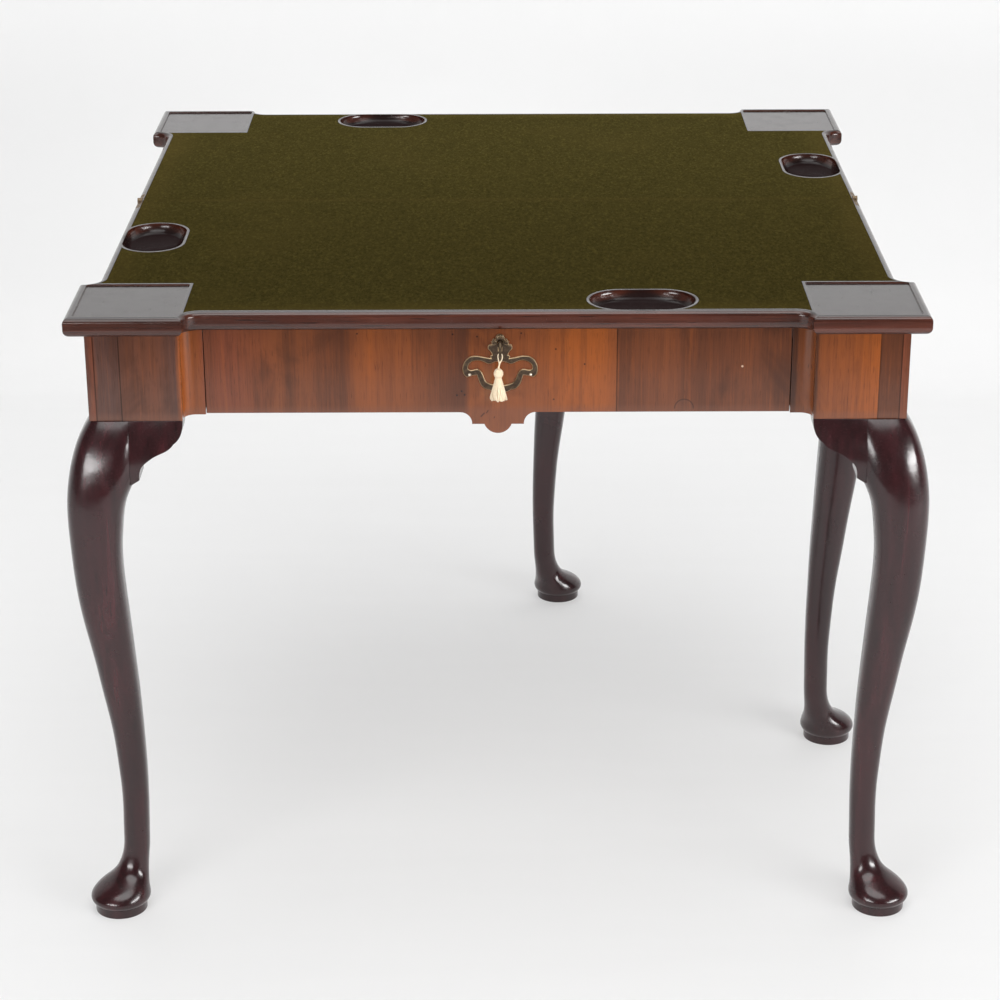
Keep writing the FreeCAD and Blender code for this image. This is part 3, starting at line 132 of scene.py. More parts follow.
# Age marks of the drawer front: x and z in metres, and for a scratch its lean and half its length
PLUG = (0.2005, 0.6045)
PLUG_RADIUS = 0.0100
CHIP = (0.2620, 0.6520)
TASSEL_RUB = (TASSEL_X, 0.632)
SCRATCHES = ((-0.0165, 0.5975, 1.1, 0.0032), (-0.0115, 0.6010, 1.7, 0.0028), (-0.0040, 0.5945, 2.2, 0.0020))
NAIL_HOLES = ((-0.0480, 0.6890), (0.0620, 0.6720), (0.0600, 0.6150), (-0.0440, 0.6200), (-0.1500, 0.6900),
              (0.0930, 0.6550), (-0.0221, 0.6864), (0.0251, 0.6900), (-0.0390, 0.6245), (-0.0358, 0.6204))

# Fixed colours of wear, dirt, old repairs and small metal, and of painted shade on the leaves and painted
# light on the cloth
# Painted shade: the darker colour of the leaves' level faces, top and underside
LEAF_LEVEL_SHADE = (0.012, 0.0075, 0.0070)
# Painted shade of the counter wells, also the colour of the duller polish on the leaves' undersides
WELL_SHADE_AND_DULL_UNDERSIDE = (0.012, 0.005, 0.005)
VENEER_RED = (0.165, 0.044, 0.024)
VENEER_DUSTY = (0.084, 0.040, 0.031)
VENEER_WORN = (0.165, 0.070, 0.046)
PLUG_LINE = (0.020, 0.008, 0.006)
PLUG_FACE = (0.110, 0.050, 0.034)
CHIP_WOOD = (0.520, 0.360, 0.250)
SCRATCH_DIRT = (0.020, 0.010, 0.008)
NAIL_DIRT = (0.012, 0.006, 0.005)
RUBBED_VENEER = (0.330, 0.125, 0.045)
# Painted light: how much lighter the cloth is painted at the back than at the front
CLOTH_BACK_LIGHT = (1.48, 1.52, 1.62)
CLOTH_LINT = (0.16, 0.14, 0.07)
CLOTH_SHEEN = (0.60, 0.55, 0.25, 1.0)
PIN_BRASS = (0.98, 0.88, 0.72)
IRON_RUST = (0.085, 0.042, 0.022)
SILK_STAIN = (0.60, 0.42, 0.22)
SILK_SOIL = (0.80, 0.64, 0.42)

# Floor and wall, in metres. The floor ends in front of the table, so polished fronts mirror the darker room
FLOOR_FRONT = -2.25
FLOOR_HALF_WIDTH = 9.0
WALL_Y = 1.43
WALL_TOP = 5.0
CORNER_RADIUS = 0.18
FLOOR_DARK = (0.84, 0.84, 0.84)
FLOOR_LIGHT = (0.88, 0.88, 0.88)

# Part of the floor's and wall's brightness that is their own, so that their shadows stay soft, its colour,
# and the strength of the even light of the room
FLOOR_GLOW_SHARE = 0.52
FLOOR_GLOW = (0.850, 0.850, 0.850)
ROOM_LIGHT = 0.14

# Lamps: name, place, aim, width and height in metres, and power in watts
LAMPS = (
    ("left_softbox", (-1.90, -3.13, 1.12), (-0.2, -0.1, 0.55), (2.2, 0.6), 45.0),
    ("right_softbox", (2.76, -2.27, 1.12), (0.2, -0.1, 0.55), (2.4, 0.6), 76.0),
    ("top_softbox", (0.0, 0.25, 3.2), (0.0, 0.0, 0.7), (2.6, 2.4), 41.0),
    ("front_panel", (0.0, -2.6, 4.0), (0.0, -1.2, 0.0), (4.5, 2.5), 92.0),
)

# Camera: place and far limit in metres, tilt and roll in radians, focal length and sensor in millimetres
CAMERA_PLACE = (0.0019, -3.0708, 1.5793)
CAMERA_REACH = 60.0
CAMERA_TILT = -0.387
CAMERA_ROLL = -0.0032
CAMERA_LENS = 94.32
CAMERA_SENSOR = 36.0


# Sizes and colours that a user would change
def length(name, description, default):
    return FloatProperty(name=name, description=description, default=default, unit="LENGTH", precision=5)


def tint(name, description, default):
    return FloatVectorProperty(name=name, description=description, default=default, subtype="COLOR")


class GameTableSizes(bpy.types.PropertyGroup):
    """Sizes of the soft pieces and of the surface detail"""

    thread_count: IntProperty(
        name="Skirt threads", description="Number of threads in the tassel's skirt", default=58, min=20)
    thread_radius: length("Thread radius", "Half the thickness of one silk thread", 0.00080)
    skirt_radius: length("Skirt radius", "Reach of the tassel's skirt at its hem", 0.0090)
    cloth_edge: length("Cloth edge", "Rounding of the cloth's cut edge", 0.0004)
    edge_wear: length("Edge softness", "Rounding that polishing has given the wooden edges", 0.0011)
    weave_pitch: length("Weave pitch", "Distance between the cloth's yarns", 0.0011)


class GameTableColours(bpy.types.PropertyGroup):
    """Colours of the finishes"""

    cloth: tint("Cloth", "Green of the cloth", (0.0335, 0.0262, 0.0066))
    cloth_worn: tint("Worn cloth", "Cloth where hands have rubbed it", (0.060, 0.042, 0.011))
    leaf: tint("Leaf polish", "Red-brown of the leaves", (0.054, 0.0142, 0.0080))
    leg: tint("Leg polish", "Near black of the legs", (0.028, 0.0055, 0.0070))
    veneer_dark: tint("Dark veneer", "Smoky streaks of the veneer", (0.066, 0.0224, 0.0115))
    veneer: tint("Veneer", "Middle brown of the veneer", (0.150, 0.0459, 0.0177))
    veneer_light: tint("Light veneer", "Orange of the brightest veneer", (0.259, 0.0677, 0.0139))
    oak: tint("Oak", "Drawer linings", (0.270, 0.155, 0.070))
    gate_oak: tint("Gate oak", "Swinging rail and hinge rail", (0.110, 0.055, 0.027))
    pine: tint("Pine", "Hidden rails and blocks", (0.310, 0.180, 0.085))
    brass: tint("Brass", "Bright rubbed brass", (0.680, 0.510, 0.310))
    patina: tint("Patina", "Brown skin of old brass", (0.084, 0.058, 0.042))
    iron: tint("Iron", "Lock, screws and gate pin", (0.130, 0.120, 0.110))
    silk: tint("Silk", "Tassel and cord", (0.865, 0.715, 0.510))


# Shader sums and nodes
class Signal:
    """A shader socket. Sums and products of signals and numbers add Math nodes to its material."""

    def __init__(self, finish, socket):
        self.finish = finish
        self.socket = socket

    def _math(self, operation, first, second):
        return self.finish.node("Math", {"operation": operation}, {0: first, 1: second})

    def __add__(self, other):
        return self._math("ADD", self, other)

    def __radd__(self, other):
        return self._math("ADD", other, self)

    def __sub__(self, other):
        return self._math("SUBTRACT", self, other)

    def __rsub__(self, other):
        return self._math("SUBTRACT", other, self)

    def __mul__(self, other):
        return self._math("MULTIPLY", self, other)

    def __pow__(self, other):
        return self._math("POWER", self, other)

    def __abs__(self):
        return self.finish.node("Math", {"operation": "ABSOLUTE"}, {0: self})

    def sine(self):
        return self.finish.node("Math", {"operation": "SINE"}, {0: self})

    def root(self):
        return self.finish.node("Math", {"operation": "SQRT"}, {0: self})

    def least(self, other):
        return self._math("MINIMUM", self, other)

    def most(self, other):
        return self._math("MAXIMUM", self, other)

    def rising(self, low, high):
        """0 below low, 1 above high and a smooth step between."""
        return self.finish.node("MapRange", {"interpolation_type": "SMOOTHSTEP"},
                                {"Value": self, "From Min": low, "From Max": high})


class Finish:
    """A material being made: its node method adds any node, and the rest are short ways to call it."""

    def __init__(self, name):
        self.material = bpy.data.materials.new(name)
        self.material.use_nodes = True
        self.tree = self.material.node_tree
        self.shader = self.tree.nodes["Principled BSDF"]
        self.place = self.node("TexCoord", output="Object")
        self.facing = self.node("TexCoord", output="Normal")
        self.x = self.axis(self.place, "X")
        self.y = self.axis(self.place, "Y")
        self.z = self.axis(self.place, "Z")

    def node(self, kind, settings=None, inputs=None, output=0):
        """A node of one type, with its settings set first and then its sockets' values or links."""
        made = self.tree.nodes.new("ShaderNode" + kind)
        for key, value in (settings or {}).items():
            if key == "stops":
                ramp = made.color_ramp
                while len(ramp.elements) < len(value):
                    ramp.elements.new(1.0)
                for element, (position, colour) in zip(ramp.elements, value):
                    element.position = position
                    element.color = (*colour, 1.0)
            else:
                setattr(made, key, value)
        for key, value in (inputs or {}).items():
            self.feed(made.inputs[key], value)
        return Signal(self, made.outputs[output])

    def feed(self, socket, value):
        if isinstance(value, Signal):
            self.tree.links.new(value.socket, socket)
        elif hasattr(value, "__len__") and socket.type == "RGBA":
            socket.default_value = (*tuple(value)[:3], 1.0)
        else:
            socket.default_value = value

    def axis(self, vector, name):
        return self.node("SeparateXYZ", None, {0: vector}, name)

    def joined(self, x, y, z):
        return self.node("CombineXYZ", None, {0: x, 1: y, 2: z})

    def noise(self, vector, scale, detail=4.0, roughness=0.55, distortion=0.0):
        return self.node("TexNoise", None, {"Vector": vector, "Scale": scale, "Detail": detail,
                                            "Roughness": roughness, "Distortion": distortion})

    def drawn(self, scale, detail=4.0, roughness=0.55, distortion=0.0):
        """Noise drawn out by a scale for each axis."""
        place = self.node("Mapping", None, {"Vector": self.place, "Scale": scale})
        return self.noise(place, 1.0, detail, roughness, distortion)

    def mix(self, factor, first, second, blend="MIX"):
        return self.node("Mix", {"data_type": "RGBA", "blend_type": blend, "clamp_factor": True},
                         {0: factor, 6: first, 7: second}, 2)

    def ramp(self, value, stops):
        return self.node("ValToRGB", {"stops": stops}, {0: value})

    def rounded(self, radius):
        """The normal of edges that wear has rounded."""
        return self.node("Bevel", {"samples": 6}, {"Radius": radius})

    def bump(self, height, strength, distance, normal=None):
        inputs = {"Height": height, "Strength": strength, "Distance": distance}
        if normal is not None:
            inputs["Normal"] = normal
        return self.node("Bump", None, inputs)

    def set(self, **sockets):
        """Values and links of the shader's own sockets, by name with spaces written as underscores."""
        for key, value in sockets.items():
            self.feed(self.shader.inputs[key.replace("_", " ")], value)
        return self.material

    def shown(self):
        """The shader's own output, to be mixed with another."""
        return Signal(self, self.shader.outputs[0])

    def show(self, surface):
        """Show a mixed shader in place of the shader alone."""
        self.tree.links.new(surface.socket, self.tree.nodes["Material Output"].inputs["Surface"])
        return self.material


def shade(colour, factor):
    """A colour made lighter or darker."""
    return tuple(component * factor for component in tuple(colour)[:3])


def blended(first, second, share):
    """A colour part of the way from one to another."""
    return tuple(a + (b - a) * share for a, b in zip(tuple(first)[:3], tuple(second)[:3]))


def grain_scale(along, cross, lengthwise):
    """Noise scale of wood: fine across the grain and drawn out along one axis."""
    scale = [cross, cross, cross]
    scale[along] = lengthwise
    return scale


# Finishes
def well_reach(f):
    """0 at the middle of a counter well, 1 at its rim and beyond.

    The back leaf's wells are the front's, turned half round.
    """
    def square(distance, half):
        return (distance * (1 / half)) ** 2

    side = f.y.rising(0.001, -0.001) * 2 - 1
    along = f.x * side
    out = f.y * side
    front = square(along - WELL_ALONG, WELL_HALF_LENGTH) + square(out + WELL_OUT, WELL_HALF_WIDTH)
    left = square(along + WELL_OUT, WELL_HALF_WIDTH) + square(out + WELL_ALONG, WELL_HALF_LENGTH)
    underside = f.z.rising(WELL_LOWEST, WELL_LOWEST - 0.001)
    return front.least(left).least(1.0).most(underside)


def polished_wood(name, colour, along, cross, edge, gloss, coat_weight, coat_rough,
                  depth=0.7, glow=1.9, flat=None):
    """Solid wood under old polish: grain drawn out along one axis, dark pores, cloudy depth, fine scratches.

    Flat is painted shade: a darker colour for a leaf's level faces, top and underside, than for its upright
    edges. A leaf's wells are painted darker still, shaded as a scoop and given a dull diffuse shader in
    place of most of the polish, and its underside, which is the top of the folded table, has a duller
    polish.
    """
    f = Finish(name)
    grain = f.drawn(grain_scale(along, cross, cross / 26), 6.0, 0.62, 0.6)
    pores = f.drawn(grain_scale(along, cross * 7, cross / 3), 2.0, 0.5)
    cloud = f.noise(f.place, 7.0, 3.0, 0.5)
    dark = shade(colour, 1 - depth)
    light = shade(colour, glow)
    base = f.ramp(grain, ((0.30, dark), (0.52, colour), (0.74, light)))
    base = f.mix(cloud.rising(0.42, 0.72) * 0.45, base, shade(colour, 0.55))
    base = f.mix(pores.rising(0.60, 0.70) * 0.55, base, shade(dark, 0.6))
    shape = f.rounded(edge)
    if flat:
        # Painted shade: the leaf's level faces, top and underside, are painted darker than its upright edges
        base = f.mix(abs(f.axis(f.facing, "Z")).rising(0.70, 0.96) * 0.88, base, flat)
        scoop = well_reach(f)
        # Painted shade: the counter wells are painted darker still
        base = f.mix(scoop.rising(0.98, 0.80) * 0.85, base, shade(flat, 0.8))
        shape = f.bump(scoop, 1.0, WELL_SCOOP, shape)
        under = f.axis(f.facing, "Z").rising(-0.70, -0.96)
        coat_weight = scoop.rising(0.80, 0.98) * (1 - under) * coat_weight
        gloss = under * 0.22 + gloss
    haze = f.noise(f.place, 46.0, 3.0, 0.6)
    scratch = f.drawn((900, 60, 900), 1.0)
    rough = gloss + haze.rising(0.35, 0.8) * 0.10 + scratch.rising(0.66, 0.74) * 0.08
    height = pores * 0.6 + grain * 0.25 + cloud * 0.6
    normal = f.bump(height, 0.16, 0.0005, shape)
    f.set(Base_Color=base, Roughness=rough, Normal=normal, Coat_Weight=coat_weight,
          Coat_Roughness=coat_rough, Specular_IOR_Level=0.45)
    if flat:
        # Painted shade: in the wells a dull diffuse shader in a dark colour takes the place of most of the
        # polish; on the underside it gives a duller polish
        dull = f.node("BsdfDiffuse", None, {"Color": WELL_SHADE_AND_DULL_UNDERSIDE})
        share = (scoop.rising(0.95, 0.60) * 0.90).most(under * 0.70)
        f.show(f.node("MixShader", None, {0: share, 1: f.shown(), 2: dull}))
    return f.material


def plain_wood(name, colour, along, cross, edge):
    """Bare hidden wood: broad growth bands, open pores and saw marks, with handling grime."""
    f = Finish(name)
    bands = f.drawn(grain_scale(along, cross, cross / 18), 5.0, 0.6, 1.1)
    pores = f.drawn(grain_scale(along, cross * 9, cross / 2), 2.0)
    grime = f.noise(f.place, 9.0, 4.0, 0.6)
    base = f.ramp(bands, ((0.28, shade(colour, 0.55)), (0.50, colour), (0.72, shade(colour, 1.35))))
    base = f.mix(pores.rising(0.58, 0.68) * 0.5, base, shade(colour, 0.35))
    base = f.mix(grime.rising(0.50, 0.78) * 0.55, base, shade(colour, 0.40))
    normal = f.bump(pores * 0.7 + bands * 0.5, 0.35, 0.0006, f.rounded(edge))
    return f.set(Base_Color=base, Roughness=0.52 + grime * 0.25, Normal=normal)


def veneer(name, stops, seams, colours, edge, marks=None):
    """Upright walnut veneer: sheets of different tone side by side, fine upright grain, smoke and pores.

    The way across the grain is x plus y, so the figure carries round a corner. Stops give the sheets' tones
    across it, in metres, with painted light and painted shade on the turret blocks' coves, and seams are the
    lines where two sheets meet.
    """
    f = Finish(name)
    across = f.x + f.y
    sway = f.noise(f.joined(across * 9, f.z * 4, 0.0), 1.0, 3.0)
    swayed = across + (sway - 0.5) * 0.016
    low = stops[0][0]
    span = stops[-1][0] - low
    tone = f.ramp((swayed - low) * (1 / span), [((place - low) / span, colour) for place, colour in stops])
    figure = f.noise(f.joined(swayed * 120, f.z * 3.4, 0.0), 1.0, 5.0, 0.62, 0.5)
    fine = f.noise(f.joined(across * 620, f.z * 16, 1.7), 1.0, 3.0, 0.6)
    pores = f.noise(f.joined(across * 1500, f.z * 62, 4.1), 1.0, 1.0)
    cross_ripple = f.noise(f.joined(across * 50, f.z * 160, 2.6), 1.0, 2.0)
    smoke = f.noise(f.joined(swayed * 17, f.z * 9, 7.0), 1.0, 4.0, 0.55, 0.8)
    base = f.mix(figure.rising(0.30, 0.56) * -0.34 + 0.34, tone, colours.veneer_dark)
    base = f.mix(figure.rising(0.54, 0.76) * 0.28, base, colours.veneer_light)
    base = f.mix(fine.rising(0.52, 0.70) * 0.34, base, shade(colours.veneer_dark, 0.75))
    base = f.mix(fine.rising(0.50, 0.30) * 0.18, base, shade(colours.veneer_light, 1.05))
    base = f.mix(pores.rising(0.62, 0.74) * 0.50, base, shade(colours.veneer_dark, 0.40))
    base = f.mix(smoke.rising(0.50, 0.74) * 0.62, base, shade(colours.veneer_dark, 0.62))
    worn = (FRIEZE_BOTTOM - f.z).rising(-0.004, 0.006) * 0.35
    base = f.mix(worn, base, VENEER_WORN)
    for seam in seams:
        line = abs(across - seam).rising(0.0011, 0.0003)
        base = f.mix(line * 0.75, base, shade(colours.veneer_dark, 0.22))
    if marks:
        for mark, strength, colour in marks(f):
            base = f.mix(mark * strength, base, colour)
    rough = 0.07 + fine * 0.04 + smoke * 0.04
    height = fine * 0.6 + pores * 0.4 + cross_ripple * 0.35 + figure * 0.3
    normal = f.bump(height, 0.08, 0.0005, f.rounded(edge))
    return f.set(Base_Color=base, Roughness=rough, Normal=normal, Specular_IOR_Level=0.5)


def drawer_marks(f):
    """Age marks of the drawer front: a round plug, a chip, scratches under the tassel and old nail holes."""
    def distance(place):
        across = f.x - place[0]
        up = f.z - place[1]
        return (across * across + up * up).root()

    def spot(place, radius, soft):
        return distance(place).rising(radius + soft, radius)

    reach = distance(PLUG)
    above = (f.z - PLUG[1]).rising(-0.002, 0.001)
    yield abs(reach - PLUG_RADIUS).rising(0.0010, 0.0003) * above, 0.7, PLUG_LINE
    yield reach.rising(PLUG_RADIUS + 0.0001, PLUG_RADIUS - 0.0004), 0.25, PLUG_FACE
    yield spot(CHIP, 0.0009, 0.0006), 0.9, CHIP_WOOD
    for x, z, lean, half in SCRATCHES:
        along = (f.x - x) + (f.z - z) * lean
        aside = (f.x - x) * lean - (f.z - z)
        dash = abs(aside).rising(0.0018, 0.0005) * abs(along).rising(half * 1.9, half)
        yield dash, 0.75, SCRATCH_DIRT
    for place in NAIL_HOLES:
        yield spot(place, 0.0007, 0.0006), 0.85, NAIL_DIRT
    rubbed = f.noise(f.place, 34.0, 3.0).rising(0.40, 0.62)
    yield spot(TASSEL_RUB, 0.012, 0.020) * rubbed, 0.30, RUBBED_VENEER


def felted_cloth(name, colours, pitch):
    """Napped woollen cloth: crossing yarns under a felted nap, lint, rubbed edges and joint, and painted
    light that makes it lighter towards the back.
    """
    f = Finish(name)
    turn = 2 * math.pi / pitch
    sway = f.noise(f.place, 60.0, 2.0)
    weft = ((f.y + sway * 0.0012) * turn).sine()
    warp = ((f.x + sway * 0.0012) * turn).sine()
    weave = weft * warp * 0.5 + 0.5
    nap = f.noise(f.place, 1100.0, 2.0, 0.7)
    tuft = f.drawn((330, 150, 330), 3.0, 0.75)
    lie = f.drawn((220, 900, 220), 2.0)
    patch = f.noise(f.place, 5.5, 4.0, 0.6)
    mottle = f.noise(f.place, 75.0, 3.0, 0.65)
    base = f.mix(nap.rising(0.34, 0.70), shade(colours.cloth, 0.62), shade(colours.cloth, 1.42))
    base = f.mix(weave.rising(0.55, 0.95) * 0.30, base, shade(colours.cloth, 0.55))
    base = f.mix(tuft.rising(0.51, 0.67) * 0.62, base, shade(colours.cloth, 1.95))
    base = f.mix(tuft.rising(0.49, 0.33) * 0.62, base, shade(colours.cloth, 0.40))
    base = f.mix(lie.rising(0.60, 0.74) * 0.30, base, shade(colours.cloth, 1.75))
    base = f.mix(mottle.rising(0.40, 0.66) * 0.32, base, shade(colours.cloth, 0.74))
    edge = abs(f.x).rising(0.385, 0.428).most(abs(f.y).rising(0.395, 0.4285))
    joint = abs(f.y).rising(0.010, 0.001)
    rub = edge.most(joint * 0.7) * (patch * 1.1)
    base = f.mix(rub * 0.55, base, colours.cloth_worn)
    base = f.mix(patch.rising(0.50, 0.70) * 0.22, base, blended(colours.cloth, colours.cloth_worn, 0.6))
    # Painted light: the cloth is painted lighter towards the back
    back_light = f.y.rising(-0.40, 0.44)
    base = f.mix(back_light, base, CLOTH_BACK_LIGHT, "MULTIPLY")
    lint = f.noise(f.place, 420.0, 1.0).rising(0.75, 0.80)
    base = f.mix(lint * 0.40, base, CLOTH_LINT)
    normal = f.bump(nap * 0.9 + weave * 0.5 + lie * 0.4, 0.55, 0.0006)
    return f.set(Base_Color=base, Roughness=0.95, Normal=normal, Sheen_Weight=0.02, Sheen_Roughness=0.5,
                 Sheen_Tint=CLOTH_SHEEN, Specular_IOR_Level=0.0)


def old_brass(name, bright, skin_colour, patina, rub, edge, gloss=0.30):
    """Brass under a brown skin, which rub wears away on faces that turn from the front."""
    f = Finish(name)
    rubbed_edge = abs(f.axis(f.facing, "Y")).rising(0.96, 0.70)
    cloud = f.noise(f.place, 260.0, 4.0, 0.6)
    speck = f.noise(f.place, 900.0, 2.0)
    skin = ((0.90 + cloud.rising(0.30, 0.60) * 0.10) * patina) * (1 - rubbed_edge * rub)
    base = f.mix(skin, bright, skin_colour)
    base = f.mix(speck.rising(0.60, 0.72) * 0.30, base, shade(skin_colour, 0.55))
    rough = gloss + skin * 0.14 + speck * 0.06
    normal = f.bump(cloud * 0.7 + speck * 0.3, 0.10, 0.0003, f.rounded(edge))
    return f.set(Base_Color=base, Metallic=0.94, Roughness=rough, Normal=normal)


def dark_iron(name, colours, edge):
    """Old iron: dark mill skin with brown rust freckles and file marks."""
    f = Finish(name)
    cloud = f.noise(f.place, 120.0, 5.0, 0.65)
    file_marks = f.drawn((1600, 200, 120), 2.0)
    rust = cloud.rising(0.54, 0.70)
    base = f.mix(rust * 0.7, colours.iron, IRON_RUST)
    base = f.mix(file_marks.rising(0.55, 0.75) * 0.35, base, shade(colours.iron, 1.7))
    normal = f.bump(cloud * 0.5 + file_marks * 0.5, 0.22, 0.0003, f.rounded(edge))
    return f.set(Base_Color=base, Metallic=0.85 - rust * 0.5, Roughness=0.38 + rust * 0.35, Normal=normal)


def silk_thread(name, colours, lines):
    """Cream silk: threads of slightly different tone, soiled towards the hem, with a soft sheen."""
    f = Finish(name)
    tone = f.drawn((lines, lines, lines / 14), 2.0)
    cloud = f.noise(f.place, 240.0, 3.0)
    base = f.mix(tone.rising(0.32, 0.68), shade(colours.silk, 0.88), shade(colours.silk, 1.04))
    base = f.mix(cloud.rising(0.52, 0.78) * 0.20, base, blended(colours.silk, SILK_STAIN, 0.7))
    soiled = (TASSEL_HEM + 0.004 - f.z).rising(-0.003, 0.004)
    base = f.mix(soiled * 0.15, base, SILK_SOIL)
    normal = f.bump(tone, 0.3, 0.0002)
    return f.set(Base_Color=base, Roughness=0.52 + cloud * 0.2, Normal=normal, Sheen_Weight=0.3,
                 Sheen_Roughness=0.4)


# Mesh making
def placed(name, mesh, body, finish):
    """An object at the origin that rides on a body and takes its finish from a material slot."""
    mesh.materials.append(finish)
    piece = bpy.data.objects.new(name, mesh)
    bpy.context.scene.collection.objects.link(piece)
    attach(piece, body)
    return piece


def formed(name, form):
    """A mesh from a finished form, which is then freed."""
    mesh = bpy.data.meshes.new(name)
    form.to_mesh(mesh)
    form.free()
    return mesh


def new_piece(name, verts, faces, body, finish):
    """A smooth piece from points and faces."""
    mesh = bpy.data.meshes.new(name)
    mesh.from_pydata(np.asarray(verts, float).reshape(-1, 3).tolist(), [], [tuple(face) for face in faces])
    mesh.validate()
    mesh.polygons.foreach_set("use_smooth", [True] * len(mesh.polygons))
    return placed(name, mesh, body, finish)


def tube_faces(lines, rings, sides, first=0):
    """Faces of many tubes whose points are stored tube by tube, ring by ring, with flat caps on the ends."""
    tube = np.arange(lines)[:, None, None] * rings * sides
    ring = np.arange(rings - 1)[None, :, None] * sides
    side = np.arange(sides)[None, None, :]
    following = (side + 1) % sides
    base = first + tube + ring
    quads = np.stack([base + side, base + following, base + sides + following, base + sides + side], -1)
    origin = first + np.arange(lines)[:, None] * rings * sides
    starts = origin + np.arange(sides)[None, ::-1]
    ends = origin + (rings - 1) * sides + np.arange(sides)[None, :]
    return quads.reshape(-1, 4).tolist() + starts.tolist() + ends.tolist()


def tubes(paths, radius, sides):
    """Round tubes along many paths at once: at each point a circle square to the path's own direction.

    Paths has shape (lines, points, 3). The circle's first axis is the part of a fixed slanted direction that
    is square to the path, so it turns smoothly along it.
    """
    direction = np.gradient(paths, axis=1)
    direction /= np.linalg.norm(direction, axis=2, keepdims=True)
    slant = np.array([0.36, 0.80, 0.48])
    first = slant - direction * (direction @ slant)[..., None]
    first /= np.linalg.norm(first, axis=2, keepdims=True)
    second = np.cross(direction, first)
    angle = np.linspace(0, 2 * np.pi, sides, endpoint=False)
    width = np.broadcast_to(radius, paths.shape[:2])[..., None, None]
    circle = first[:, :, None] * np.cos(angle)[:, None] + second[:, :, None] * np.sin(angle)[:, None]
    return paths[:, :, None] + circle * width


def arc(centre, radius, start, end, count):
    """Points on an arc, angles in degrees."""
    angle = np.radians(np.linspace(start, end, count))
    return np.stack([centre[0] + radius * np.cos(angle), centre[1] + radius * np.sin(angle)], -1)


def cloth_outline():
    """The front cloth's outline, counterclockwise from the joint's left end.

    Straight runs stand a margin inside the leaf's edge, arcs follow the coves beside the turrets, square
    corners pass the turrets, and each counter well takes a round-ended bite out of its edge.
    """
    cove = math.degrees(math.asin((TURRET_INNER - COVE_CENTRE_ALONG) / COVE_REACH))
    half_run = WELL_HALF_LENGTH - WELL_HALF_WIDTH
    bite = math.degrees(math.asin((CLOTH_EDGE - WELL_OUT) / WELL_HALF_WIDTH))
    runs = [
        np.array([[-CLOTH_EDGE, CLOTH_JOINT]]),
        arc((-WELL_OUT, -WELL_ALONG + half_run), WELL_HALF_WIDTH, 90 + bite, 0, 26),
        arc((-WELL_OUT, -WELL_ALONG - half_run), WELL_HALF_WIDTH, 0, -90 - bite, 26),
        arc((-COVE_CENTRE_OUT, -COVE_CENTRE_ALONG), COVE_REACH, 0, -cove, 12),
        np.array([[-TURRET_INNER, -TURRET_INNER]]),
        arc((-COVE_CENTRE_ALONG, -COVE_CENTRE_OUT), COVE_REACH, 90 + cove, 90, 12),
        arc((WELL_ALONG - half_run, -WELL_OUT), WELL_HALF_WIDTH, 180 + bite, 90, 26),
        arc((WELL_ALONG + half_run, -WELL_OUT), WELL_HALF_WIDTH, 90, -bite, 26),
        arc((COVE_CENTRE_ALONG, -COVE_CENTRE_OUT), COVE_REACH, 90, 90 - cove, 12),
        np.array([[TURRET_INNER, -TURRET_INNER]]),
        arc((COVE_CENTRE_OUT, -COVE_CENTRE_ALONG), COVE_REACH, 180 + cove, 180, 12),
        np.array([[CLOTH_EDGE, CLOTH_JOINT]]),
    ]
    return np.concatenate(runs)


def cloth_piece(name, outline, body, node, finish, edge):
    """A cut sheet of cloth as thick as its bed is deep, flat inside its outline, with a softened edge."""
    form = bmesh.new()
    bottom = [form.verts.new((x, y, CLOTH_BED)) for x, y in outline.tolist()]
    sheet = form.faces.new(bottom)
    top = bmesh.ops.extrude_face_region(form, geom=[sheet])
    raised = [item for item in top["geom"] if isinstance(item, bmesh.types.BMVert)]
    bmesh.ops.translate(form, verts=raised, vec=(0, 0, CLOTH_TOP - CLOTH_BED))
    rim = [edge_ for edge_ in form.edges if all(v.co.z > CLOTH_TOP - 1e-6 for v in edge_.verts)]
    bmesh.ops.bevel(form, geom=rim, offset=edge, segments=2, affect="EDGES", profile=0.6)
    bmesh.ops.triangulate(form, faces=[face for face in form.faces if len(face.verts) > 4])
    bmesh.ops.recalc_face_normals(form, faces=form.faces)
    piece = placed(name, formed(name, form), body, finish)
    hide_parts(node)
    return piece


def coat(finish, *nodes):
    """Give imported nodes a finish."""
    for name in nodes:
        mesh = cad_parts[name].data
        mesh.materials.clear()
        mesh.materials.append(finish)


# Pieces
class GAMETABLE_OT_baize(bpy.types.Operator):
    """Lay the two cut sheets of green cloth in the leaves"""

    bl_idname = "gametable.baize"
    bl_label = "Cloth"

    def execute(self, context):
        sizes = context.scene.game_table_sizes
        finish = felted_cloth("green_cloth", context.scene.game_table_colours, sizes.weave_pitch)
        outline = cloth_outline()
        cloth_piece("front_cloth", outline, "frame", "lower_baize", finish, sizes.cloth_edge)
        cloth_piece("back_cloth", -outline, "folding_leaf", "upper_baize", finish, sizes.cloth_edge)
        return {"FINISHED"}


class GAMETABLE_OT_leaves(bpy.types.Operator):
    """Polish the two leaves"""

    bl_idname = "gametable.leaves"
    bl_label = "Leaves"

    def execute(self, context):
        sizes = context.scene.game_table_sizes
        colours = context.scene.game_table_colours
        finish = polished_wood("leaf_polish", colours.leaf, 0, 70.0, sizes.edge_wear,
                               gloss=0.17, coat_weight=0.36, coat_rough=0.13, flat=LEAF_LEVEL_SHADE)
        coat(finish, "lower_leaf", "upper_leaf")
        return {"FINISHED"}


